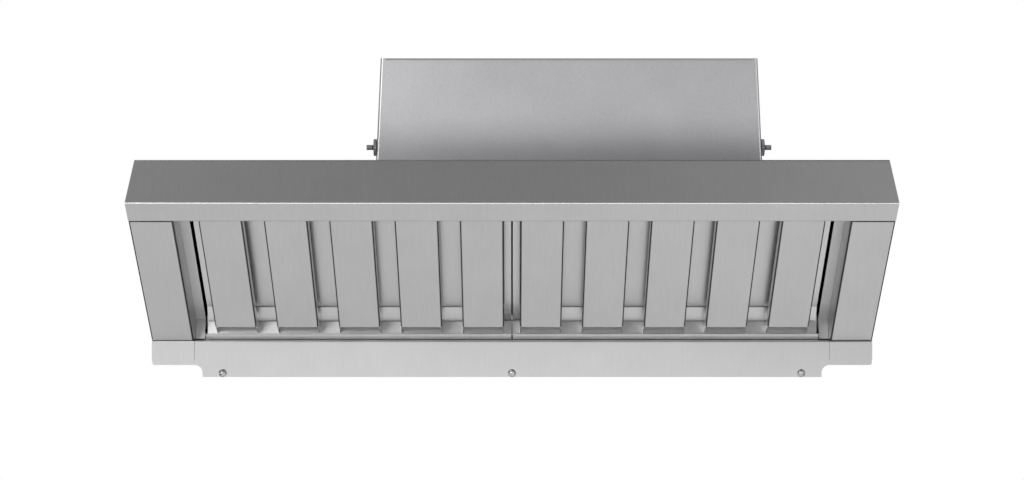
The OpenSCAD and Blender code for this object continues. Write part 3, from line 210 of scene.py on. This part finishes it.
steel = {
    "colour": "#c6c6c6",       # the ground sheets; the bright floor in them makes them look lighter
    "roughness": 0.30,
    "cowlColour": "#e3e3e6",   # the cowl's sheet looks a little bluer
    "cowlRoughness": 0.30,
    "guideColourPaintedLight": "#e2e2e2",  # sheet that isn't ground is duller; it is painted lighter, as painted light in its shaded recess low down
    "guideRoughness": 0.46,
    "innerColourPaintedLight": "#cecece",  # painted lighter than the front sheets: painted light in the channels that the baffles shade
    "frameColourPaintedLight": "#e2e2e2",  # painted lighter than the ground sheets, as painted light on the shaded web under the baffles; its roughness lies between ground and dull
    "frameRoughness": 0.36,
}
coverLook = {**steelLook, "bendAxis": "Y", "paintedFaceShade": 1, "paintedBendShade": 0.6}   # painted shade on its bends and on its front edge, which looks along Y
cowlLook = {**steelLook, "paintedBendShade": 0, "grain": 1.8, "grainLength": 3.2, "shade": 0.07}   # mottled, no streaks, and no painted shade on the bends
guideLook = {**steelLook, "metallic": 0.55}
frameLook = {**steelLook, "metallic": 0.8}

frontSteel = brushedSteel("stainless_ground_upright", steel["colour"], steel["roughness"], "slope")
coverSteel = brushedSteel("stainless_ground_deep", steel["colour"], steel["roughness"], "depth", coverLook)
sideSteel = brushedSteel("stainless_ground_long", steel["colour"], steel["roughness"], "height")
cowlSteel = brushedSteel("stainless_ground_cowl", steel["cowlColour"], steel["cowlRoughness"], "slope", cowlLook)
# Painted light: the guides are painted lighter than the front sheets, to lift their shaded recess
guideSteel = brushedSteel("stainless_dull_painted_lighter", steel["guideColourPaintedLight"], steel["guideRoughness"], "slope",
                          guideLook)
# Painted light: the rear baffles are the front sheets' ground steel, painted lighter where the baffles shade them
innerSteel = brushedSteel("stainless_ground_painted_lighter", steel["innerColourPaintedLight"], steel["roughness"], "slope")
# Painted light: the frames are painted lighter than the front sheets, to lift the web in shade under the baffles
frameSteel = brushedSteel("stainless_frame_painted_lighter", steel["frameColourPaintedLight"], steel["frameRoughness"], "slope",
                          frameLook)
zincSheet = galvanised("zinc_dipped_sheet", zincLook)

# By the CAD's slots; grain and depth are mm
solidLooks = {
    # Turned stainless steel: small bright highlights, hardly any texture
    "screw_steel": {"name": "stainless_turned", "colour": "#c9c9ca", "roughness": 0.22, "metallic": 1,
                    "grain": 1.5, "depth": 0.01, "shade": 0.08},
    # Extruded EPDM rubber: dull black with a slightly dusty skin
    "rubber": {"name": "rubber_extruded", "colour": "#26272a", "roughness": 0.75, "metallic": 0,
               "grain": 0.8, "depth": 0.05, "shade": 0.25},
    # Die-cast aluminium: pale grey and satin, with a faint orange peel
    "cast_aluminium": {"name": "aluminium_die_cast", "colour": "#c6c9cc", "roughness": 0.42, "metallic": 1,
                       "grain": 0.9, "depth": 0.03, "shade": 0.15},
    # Rolled aluminium foil: light and fairly bright
    "fin_aluminium": {"name": "aluminium_rolled", "colour": "#d4d6d8", "roughness": 0.30, "metallic": 1,
                      "grain": 3, "depth": 0.01, "shade": 0.08},
    # Drawn copper tube: warm and bright, with darker patches of tarnish
    "copper_pipe": {"name": "copper_drawn", "colour": "#b87350", "roughness": 0.28, "metallic": 1,
                    "grain": 2.5, "depth": 0.01, "shade": 0.2},
    # Turned brass: yellow and bright
    "brass": {"name": "brass_turned", "colour": "#c7a55a", "roughness": 0.26, "metallic": 1,
              "grain": 2, "depth": 0.01, "shade": 0.12},
    # Moulded black nylon: dark, with broad soft highlights
    "black_plastic": {"name": "nylon_moulded", "colour": "#1c1d1f", "roughness": 0.48, "metallic": 0,
                      "grain": 0.6, "depth": 0.03, "shade": 0.2},
    # Moulded natural nylon: creamy white and satin
    "pale_plastic": {"name": "nylon_natural", "colour": "#dcdacb", "roughness": 0.45, "metallic": 0,
                     "grain": 0.7, "depth": 0.02, "shade": 0.08},
}
finishes = {slotName: fineGrained(**look) for slotName, look in solidLooks.items()}
finishes["brushed_stainless"] = frontSteel
finishes["dull_steel"] = zincSheet
print("materials made:", len(bpy.data.materials))

# Nodes whose sheet has another finish or another way of the grain than its slot's
ownFinish = {
    "filter_guide_left": guideSteel,
    "filter_guide_right": guideSteel,
    "cowl": cowlSteel,
    "top_cover": coverSteel,
    "control_lid": coverSteel,
    "outlet_collar": coverSteel,
    "side_wall_left": sideSteel,
    "side_wall_right": sideSteel,
    "rear_panel": sideSteel,
    "steam_collar": finishes["screw_steel"],
    "drain_spigot": finishes["screw_steel"],
    "base_tray": zincSheet,
}


def dress(nodeName, slotName):
    piece = frame["nodes"][nodeName]
    piece.data.materials.clear()
    piece.data.materials.append(ownFinish.get(nodeName, finishes[slotName]))


for part in frame["record"]["subparts"]:
    dress(part["node"], part["material_slot"])
print("CAD nodes dressed")

# Folded sheet on the slope that the filters lie in. The places are millimetres: x across from the middle,
# s down the slope from the visor's tip, n in behind the side panels' faces
slope = {"tipY": -150.5, "tipZ": 197.5, "angle": math.atan2(159, 150.5)}


def onSlope(x, s, n):
    a = slope["angle"]
    return Vector((x, slope["tipY"] + s * math.cos(a) + n * math.sin(a),
                   slope["tipZ"] - s * math.sin(a) + n * math.cos(a))) * mm


def bentStrip(start, runs, turns, sheet, radius, heading=0.0, steps=6):
    # Outline of a sheet seen end on: its right side starts at a point, and the runs are measured along that side
    # to where it would meet the next; a turn to the left is positive, and radius is the inside of a bend
    u, v = start
    rightSide, leftSide = [], []
    angle = math.radians(heading)

    def offset(distance):
        return (u - distance * math.sin(angle), v + distance * math.cos(angle))

    cut = [(radius + (sheet if t > 0 else 0)) * math.tan(math.radians(abs(t)) / 2) for t in turns]
    for k, run in enumerate(runs):
        rightSide.append((u, v))
        leftSide.append(offset(sheet))
        flat = run - (cut[k - 1] if k else 0) - (cut[k] if k < len(turns) else 0)
        u, v = u + flat * math.cos(angle), v + flat * math.sin(angle)
        rightSide.append((u, v))
        leftSide.append(offset(sheet))
        if k < len(turns):
            way = 1 if turns[k] > 0 else -1
            rightRadius, leftRadius = (radius + sheet, radius) if way > 0 else (radius, radius + sheet)
            centre = offset(way * rightRadius)
            first = angle
            for step in range(1, steps + 1):
                angle = first + math.radians(turns[k]) * step / steps
                out = (way * math.sin(angle), -way * math.cos(angle))
                u, v = centre[0] + rightRadius * out[0], centre[1] + rightRadius * out[1]
                if step < steps:
                    rightSide.append((u, v))
                    leftSide.append((centre[0] + leftRadius * out[0], centre[1] + leftRadius * out[1]))
    return rightSide + leftSide[::-1]


def plate(fromU, toU, fromV, toV):
    return [(fromU, fromV), (toU, fromV), (toU, toV), (fromU, toV)]


def leaningPlate(start, end, sheet):
    # The front face runs between the two points, and the sheet lies behind it
    lean = math.atan2(start[1] - end[1], end[0] - start[0])
    down, back = sheet * math.sin(lean), sheet * math.cos(lean)
    return [start, end, (end[0] + down, end[1] + back), (start[0] + down, start[1] + back)]


def addSheet(bm, outline, place):
    # Stretches an outline between two ends; place turns an outline point and an end, 0 or 1, into a point in space
    rings = [[bm.verts.new(place(u, v, end)) for u, v in outline] for end in (0, 1)]
    bm.faces.new(rings[0])
    bm.faces.new(rings[1][::-1])
    for k in range(len(outline)):
        n = (k + 1) % len(outline)
        bm.faces.new((rings[0][n], rings[0][k], rings[1][k], rings[1][n]))


def sheetAcross(bm, side, outline, xFrom, xTo):
    addSheet(bm, outline, lambda s, n, end: onSlope(side * (xTo if end else xFrom), s, n))


def sheetDown(bm, side, outline, sFrom, sTo):
    addSheet(bm, outline, lambda x, n, end: onSlope(side * x, sTo if end else sFrom, n))


sheetFinish = {
    "weld": 1e-6,       # m, vertices closer than this become one
    "sharpFrom": 35,    # degrees between faces from which an edge stays sharp
}


def finishSheet(bm, name, body, material):
    bmesh.ops.remove_doubles(bm, verts=bm.verts, dist=sheetFinish["weld"])
    bmesh.ops.recalc_face_normals(bm, faces=bm.faces)
    mesh = bpy.data.meshes.new(name)
    bm.to_mesh(mesh)
    bm.free()
    mesh.shade_smooth()
    mesh.set_sharp_from_angle(angle=math.radians(sheetFinish["sharpFrom"]))
    piece = bpy.data.objects.new(name, mesh)
    bpy.context.scene.collection.objects.link(piece)
    weighted = piece.modifiers.new("weighted", "WEIGHTED_NORMAL")
    weighted.keep_sharp = True
    mesh.materials.append(material)
    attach(piece, body)
    return piece


# The filters' frames: a rear plate with an opening behind the baffles, a top rail, and a bottom rail, whose front
# leg is the strip under the baffles and whose leaning web and level ledge close the channels' feet
filterFrame = {
    "sheet": 1.0, "bend": 0.3,
    "clear": 0.1,                        # between sheets that meet
    "inX": 1.0, "outX": 359.7,           # edges of the rear plate
    "openIn": 9.0, "openOut": 352.0,     # edges of its opening
    "front": 3.2, "back": 29.4,          # the frame's front and rear faces
    "top": 19.0, "topStrip": 9.0,        # the top rail's upper edge, and how far its legs reach down
    "stripTop": 211.8, "strip": 10.35,   # the strip's upper edge, and its length to where it would meet the web
    "stripTurn": 123,                    # degrees in the bend between them
    "web": 22.4, "ledge": 10.4,
    "rearLeg": 30, "rearEnd": 216.9,     # from the ledge up to the rear plate's bars
    "lugX": 361.2, "lugEnd": 219.8,      # the strip reaches a little further out than the rear plate
    "cornerFrom": (191.0, 28.2), "cornerTo": (208.8, 22.6),   # the plate that closes the outer lower corner
}


def makeFilterFrame(side, word):
    f, t = filterFrame, filterFrame["sheet"]
    bm = bmesh.new()
    level = math.degrees(slope["angle"])   # from the slope to the ledge's level
    rail = bentStrip((f["stripTop"], f["front"]), [f["strip"], f["web"], f["ledge"], f["rearLeg"]],
                     [f["stripTurn"], level - f["stripTurn"], 180 - level], t, f["bend"])
    sheetAcross(bm, side, rail, f["inX"], f["outX"])
    lug = plate(f["stripTop"], f["lugEnd"], f["front"], f["front"] + t)
    sheetAcross(bm, side, lug, f["outX"], f["lugX"])
    sheetAcross(bm, side, leaningPlate(f["cornerFrom"], f["cornerTo"], t), f["openOut"], f["outX"])
    legsEnd = f["top"] + f["topStrip"]
    top = bentStrip((legsEnd, f["back"]), [f["topStrip"], f["back"] - f["front"] - t, f["topStrip"]], [90, 90], t,
                    f["bend"], heading=180)
    sheetAcross(bm, side, top, f["inX"], f["outX"])
    bar = plate(legsEnd + f["clear"], f["rearEnd"] - f["rearLeg"] - f["clear"], f["back"] - t, f["back"])
    sheetAcross(bm, side, bar, f["inX"], f["openIn"])
    sheetAcross(bm, side, bar, f["openOut"], f["outX"])
    piece = finishSheet(bm, "filterFrame_" + word, "filter_" + word, frameSteel)
    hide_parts("filter_frame_" + word)


# The front baffles are the CAD's. Between them show the rear ones, whose floors lean out at their feet
baffles = {
    "first": 9.35, "width": 48.58, "pitch": 72.58, "count": 5, "gap": 24.0, "end": 201.12,   # as in the CAD
    "rearLap": 10.0,     # how far a rear channel reaches behind the baffles beside it
    "rearFace": 28.2,    # depth of its floor
    "rearLeg": 12.0,
    "legsEnd": 204.8,    # where its legs stop before the frame's ledge
    "apronFrom": (191.0, 27.1), "apronTo": (208.5, 22.2),   # its leaning foot
    # The front baffles' legs run on, with a front edge that slants in to the frame's web
    "legBack": 15.2, "footAtEnd": 5.0, "footAtRail": (216.7, 9.9), "footBack": (213.6, 15.2),
}


def makeRearBaffles(side, word):
    f, b, t = filterFrame, baffles, filterFrame["sheet"]
    bm = bmesh.new()
    inner = t + f["bend"]
    width = b["gap"] + 2 * b["rearLap"]
    legFront = b["rearFace"] - b["rearLeg"]
    for k in range(1, b["count"]):
        x = b["first"] + k * b["pitch"] - b["gap"] / 2 - width / 2
        channel = bentStrip((x, legFront), [b["rearLeg"], width, b["rearLeg"]], [-90, -90], t, f["bend"], heading=90)
        sheetDown(bm, side, channel, f["top"] + inner, b["apronFrom"][0])
        for leg in (x, x + width - t):
            sheetDown(bm, side, plate(leg, leg + t, legFront, b["rearFace"]), b["apronFrom"][0], b["legsEnd"])
        sheetAcross(bm, side, leaningPlate(b["apronFrom"], b["apronTo"], t), x + inner, x + width - inner)
    piece = finishSheet(bm, "rearBaffles_" + word, "filter_" + word, innerSteel)
    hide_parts("rear_baffles_" + word)


def makeBaffleFeet(side, word):
    f, b, t = filterFrame, baffles, filterFrame["sheet"]
    bm = bmesh.new()
    start = b["end"] - t - f["bend"]
    foot = [(start, b["footAtEnd"]), (b["end"], b["footAtEnd"]), b["footAtRail"], b["footBack"],
            (start, b["legBack"])]
    for k in range(b["count"]):
        left = b["first"] + k * b["pitch"]
        for x in (left, left + b["width"] - t):
            sheetAcross(bm, side, foot, x, x + t)
    finishSheet(bm, "baffleFeet_" + word, "filter_" + word, frameSteel)


# The gutter on the shelf: a flat floor, a rear wall, and four rests that reach up to the frames' ledges
gutter = {
    "sheet": 1.2, "bend": 0.4, "clear": 0.05,
    "front": 10.0,                            # mm behind the oven's front face
    "rests": (-326.6, -31.0, 31.0, 326.6),    # mm from the middle to their inner faces
    "restTop": 60.0,
}


def makeGutter():
    corners = [Vector(corner) / mm for corner in frame["nodes"]["gutter"].bound_box]
    low = [min(corner[k] for corner in corners) for k in range(3)]
    high = [max(corner[k] for corner in corners) for k in range(3)]
    t, front = gutter["sheet"], gutter["front"]
    bm = bmesh.new()
    tray = bentStrip((front, low[2]), [high[1] - front, high[2] - low[2]], [90], t, gutter["bend"])
    addSheet(bm, tray, lambda y, z, end: Vector((high[0] if end else low[0], y, z)) * mm)
    rest = plate(front + gutter["clear"], high[1] - t, low[2] + t, gutter["restTop"])
    for x in gutter["rests"]:
        addSheet(bm, rest, lambda y, z, end: Vector((x + math.copysign(t * end, x), y, z)) * mm)
    piece = finishSheet(bm, "gutterTray", "hood", frontSteel)
    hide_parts("gutter")


# The guides' lips end in a foot on the flange's shelf
guideFoot = {
    "inX": 364.1, "outX": 375.2,
    # mm behind the oven's front face and up: the front face, and then the rear one
    "outline": [(11.0, 39.8), (12.9, 50.0), (17.2, 62.8), (18.4, 62.4), (14.1, 49.7), (12.2, 39.8)],
}


def makeGuideFoot(side, word):
    g = guideFoot
    bm = bmesh.new()
    addSheet(bm, g["outline"], lambda y, z, end: Vector((side * (g["outX"] if end else g["inX"]), y, z)) * mm)
    finishSheet(bm, "guideFoot_" + word, "hood", guideSteel)


makeGutter()
for side, word in ((-1, "left"), (1, "right")):
    makeGuideFoot(side, word)
    makeFilterFrame(side, word)
    makeRearBaffles(side, word)
    makeBaffleFeet(side, word)
print("filters finished")

# Studio: a pale floor well below, because the hood hangs on an oven, and a white sky that darkens overhead
floorLook = {
    "drop": 0.55,                # m from the part's lowest point to the floor
    "size": 2.5,                 # m from its middle to its edge
    "colour": "#e4e4e4",
    "glow": 0.485,               # added for the camera and for mirrors, so that the floor is white in them
    "paintedShadeFromX": (0.75, 1.1),   # m to either side over which painted shade darkens the floor in the mirrors
    "paintedShadeFromY": (0.08, 0.40),  # m behind the oven's front over which it does so: painted shade where an oven would stand, which isn't built
    "shade": 0.85,               # how much darker the painted shade makes it
    "paintedLightFromY": (-0.9, -2.0),  # m over which a painted pool of light makes it brighter towards the camera
    "paintedLightGain": 4.5,            # how many times as bright the painted light makes it there
    "lean": 0.06,                # how much brighter painted light makes it at the right than at the middle
    "leanOver": 0.5,             # m to either side over which that grows
}


def anyRay(tree, names):
    # 1 for a ray of any of these kinds, and 0 for the others
    path = addNode(tree, "ShaderNodeLightPath", {})
    total = path.outputs[names[0]]
    for name in names[1:]:
        total = addNode(tree, "ShaderNodeMath", {"operation": "MAXIMUM"},
                        {0: total, 1: path.outputs[name]}).outputs[0]
    return total


def floorPaint():
    look = floorLook
    material, tree = newMaterial("studio_floor")
    place = addNode(tree, "ShaderNodeNewGeometry", {}).outputs["Position"]
    parts = addNode(tree, "ShaderNodeSeparateXYZ", {}, {0: place})
    # Painted shade: in the mirrors the floor's colour is painted darker to the sides and behind, where an oven would
    # stand
    aside = addNode(tree, "ShaderNodeMath", {"operation": "ABSOLUTE"}, {0: parts.outputs["X"]})
    (nearX, farX), (nearY, farY), (nearFront, farFront) = look["paintedShadeFromX"], look["paintedShadeFromY"], look["paintedLightFromY"]
    shadeX = addNode(tree, "ShaderNodeMapRange", {"From Min": nearX, "From Max": farX, "To Max": look["shade"]},
                     {"Value": aside.outputs[0]})
    shadeY = addNode(tree, "ShaderNodeMapRange", {"From Min": nearY, "From Max": farY, "To Max": look["shade"]},
                     {"Value": parts.outputs["Y"]})
    shade = addNode(tree, "ShaderNodeMath", {"operation": "MAXIMUM"}, {0: shadeX.outputs[0], 1: shadeY.outputs[0]})
    mirrored = anyRay(tree, ("Is Glossy Ray", "Is Transmission Ray"))
    darker = addNode(tree, "ShaderNodeMath", {"operation": "MULTIPLY"}, {0: shade.outputs[0], 1: mirrored})
    colour = addNode(tree, "ShaderNodeMix", {"data_type": "RGBA", 6: linearColour(look["colour"]), 7: (0, 0, 0, 1)},
                     {0: darker.outputs[0]})
    paint = addNode(tree, "ShaderNodeBsdfDiffuse", {}, {"Color": colour.outputs[2]})

    seen = anyRay(tree, ("Is Camera Ray", "Is Glossy Ray", "Is Transmission Ray"))
    lit = addNode(tree, "ShaderNodeMath", {"operation": "SUBTRACT", 0: 1.0}, {1: darker.outputs[0]})
    # Painted light: the glow is painted brighter towards the camera and at the right, a pool of light without a lamp
    lean = addNode(tree, "ShaderNodeMapRange", {"From Min": -look["leanOver"], "From Max": look["leanOver"],
                                                "To Min": look["glow"] * (1 - look["lean"]),
                                                "To Max": look["glow"] * (1 + look["lean"])},
                   {"Value": parts.outputs["X"]})
    front = addNode(tree, "ShaderNodeMapRange", {"From Min": nearFront, "From Max": farFront, "To Min": 1,
                                                 "To Max": look["paintedLightGain"]}, {"Value": parts.outputs["Y"]})
    strength = seen
    for factor in (lit, lean, front):
        strength = addNode(tree, "ShaderNodeMath", {"operation": "MULTIPLY"},
                           {0: strength, 1: factor.outputs[0]}).outputs[0]
    glow = addNode(tree, "ShaderNodeEmission", {}, {"Strength": strength})
    both = addNode(tree, "ShaderNodeAddShader", {}, {0: paint.outputs[0], 1: glow.outputs[0]})
    finishMaterial(tree, both)
    return material


def makeFloor():
    size = floorLook["size"]
    height = cadBox[0][2] - floorLook["drop"]
    mesh = bpy.data.meshes.new("floor")
    corners = [(-size, -size, height), (size, -size, height), (size, size, height), (-size, size, height)]
    mesh.from_pydata(corners, [], [(0, 1, 2, 3)])
    floor = bpy.data.objects.new("floor", mesh)
    bpy.context.scene.collection.objects.link(floor)
    mesh.materials.append(floorPaint())


skyLook = {
    # what metal sees at each height of its view, from straight down to straight up
    "heights": [(-1.0, 0.9), (-0.5, 1.8), (-0.3, 3.9), (-0.18, 3.2), (-0.12, 1.5), (-0.06, 0.5), (-0.02, 0.17),
                (0.03, 0.09), (0.34, 0.20), (0.7, 0.25), (1.0, 0.195)],
    "lean": 0.30,               # how much brighter it is at the left than at the right
    "leanOver": 0.5,            # how far to either side that grows
    "leftGain": 0.52,           # how much brighter the sky overhead grows to each side
    "rightGain": 0.92,
    "overhead": (0.2, 0.9),     # the heights between which that comes in
    "rearShade": 0.85,          # how much darker it is low down behind the hood, where the oven and a wall are
    "rearFrom": (0.1, 0.5),     # how far to the rear that comes in
    "rearHeight": (0.3, 0.0),   # and over which heights
}


def makeSky():
    look = skyLook
    world = bpy.data.worlds.new("studio_sky")
    bpy.context.scene.world = world
    world.use_nodes = True
    tree = world.node_tree
    tree.nodes.clear()
    direction = addNode(tree, "ShaderNodeTexCoord", {}).outputs["Generated"]
    parts = addNode(tree, "ShaderNodeSeparateXYZ", {}, {0: direction})
    height = addNode(tree, "ShaderNodeMapRange", {"From Min": -1, "From Max": 1}, {"Value": parts.outputs["Z"]})
    ramp = addNode(tree, "ShaderNodeValToRGB", {}, {"Fac": height.outputs[0]})
    stops = ramp.color_ramp.elements
    while len(stops) < len(look["heights"]):
        stops.new(0.5)
    top = max(value for place, value in look["heights"])
    for stop, (place, value) in zip(stops, look["heights"]):
        stop.position = (place + 1) / 2
        stop.color = (value / top, value / top, value / top, 1)
    leaning = addNode(tree, "ShaderNodeMapRange", {"From Min": -look["leanOver"], "From Max": look["leanOver"],
                                                   "To Min": top * (1 + look["lean"] / 2),
                                                   "To Max": top * (1 - look["lean"] / 2)},
                      {"Value": parts.outputs["X"]})
    base = addNode(tree, "ShaderNodeMath", {"operation": "MULTIPLY"},
                   {0: ramp.outputs["Color"], 1: leaning.outputs[0]})

    left = addNode(tree, "ShaderNodeMapRange", {"From Min": 0, "From Max": -1, "To Max": look["leftGain"]},
                   {"Value": parts.outputs["X"]})
    right = addNode(tree, "ShaderNodeMapRange", {"From Min": 0, "From Max": 1, "To Max": look["rightGain"]},
                    {"Value": parts.outputs["X"]})
    sides = addNode(tree, "ShaderNodeMath", {"operation": "ADD"}, {0: left.outputs[0], 1: right.outputs[0]})
    low, high = look["overhead"]
    overhead = addNode(tree, "ShaderNodeMapRange", {"From Min": low, "From Max": high}, {"Value": parts.outputs["Z"]})
    sky = addNode(tree, "ShaderNodeMath", {"operation": "MULTIPLY_ADD"},
                  {0: sides.outputs[0], 1: overhead.outputs[0], 2: base.outputs[0]})

    near, far = look["rearFrom"]
    behind = addNode(tree, "ShaderNodeMapRange", {"From Min": near, "From Max": far, "To Max": look["rearShade"]},
                     {"Value": parts.outputs["Y"]})
    upper, lower = look["rearHeight"]
    lowDown = addNode(tree, "ShaderNodeMapRange", {"From Min": upper, "From Max": lower}, {"Value": parts.outputs["Z"]})
    wall = addNode(tree, "ShaderNodeMath", {"operation": "MULTIPLY"}, {0: behind.outputs[0], 1: lowDown.outputs[0]})
    clear = addNode(tree, "ShaderNodeMath", {"operation": "SUBTRACT", 0: 1.0}, {1: wall.outputs[0]})
    strength = addNode(tree, "ShaderNodeMath", {"operation": "MULTIPLY"}, {0: sky.outputs[0], 1: clear.outputs[0]})
    surround = addNode(tree, "ShaderNodeBackground", {"Color": (1, 1, 1, 1)}, {"Strength": strength.outputs[0]})
    white = addNode(tree, "ShaderNodeBackground", {"Color": (1, 1, 1, 1), "Strength": 1})
    seen = anyRay(tree, ("Is Camera Ray",))
    both = addNode(tree, "ShaderNodeMixShader", {}, {0: seen, 1: surround.outputs[0], 2: white.outputs[0]})
    addNode(tree, "ShaderNodeOutputWorld", {}, {"Surface": both.outputs[0]})


# Two round soft boxes in front: places and sizes in metres, power in watts
lamps = {
    "frontLeft": {"at": (-1.7, -2.9, 1.2), "size": 1.6, "power": 26},
    "frontRight": {"at": (2.2, -2.4, 0.7), "size": 1.6, "power": 8},
}
lampAim = (0, 0, 0.15)   # the middle of the hood's front


def makeLamp(name, at, size, power):
    data = bpy.data.lights.new(name, "AREA")
    data.shape = "DISK"
    data.size = size
    data.energy = power
    lamp = bpy.data.objects.new(name, data)
    bpy.context.scene.collection.objects.link(lamp)
    lamp.location = at
    aim = Vector(lampAim) - Vector(at)
    lamp.rotation_euler = aim.to_track_quat("-Z", "Y").to_euler()


# The camera looks level along the hood's middle, a little above the filters
view = {
    "distance": 2.1387,   # m in front of the oven's face
    "height": 0.1569,     # m above the middle fixing screw
    "lens": 63.74,        # mm
    "sensor": 36,         # mm
}


def makeCamera():
    data = bpy.data.cameras.new("photo_camera")
    data.sensor_fit = "HORIZONTAL"
    data.sensor_width = view["sensor"]
    data.lens = view["lens"]
    camera = bpy.data.objects.new("photo_camera", data)
    bpy.context.scene.collection.objects.link(camera)
    camera.location = (0, -view["distance"], view["height"])
    camera.rotation_euler = (math.pi / 2, 0, 0)
    bpy.context.scene.camera = camera


makeFloor()
makeSky()
for lampName, lamp in lamps.items():
    makeLamp(lampName, **lamp)
makeCamera()
bpy.context.scene.view_settings.view_transform = "Standard"
print("studio set")
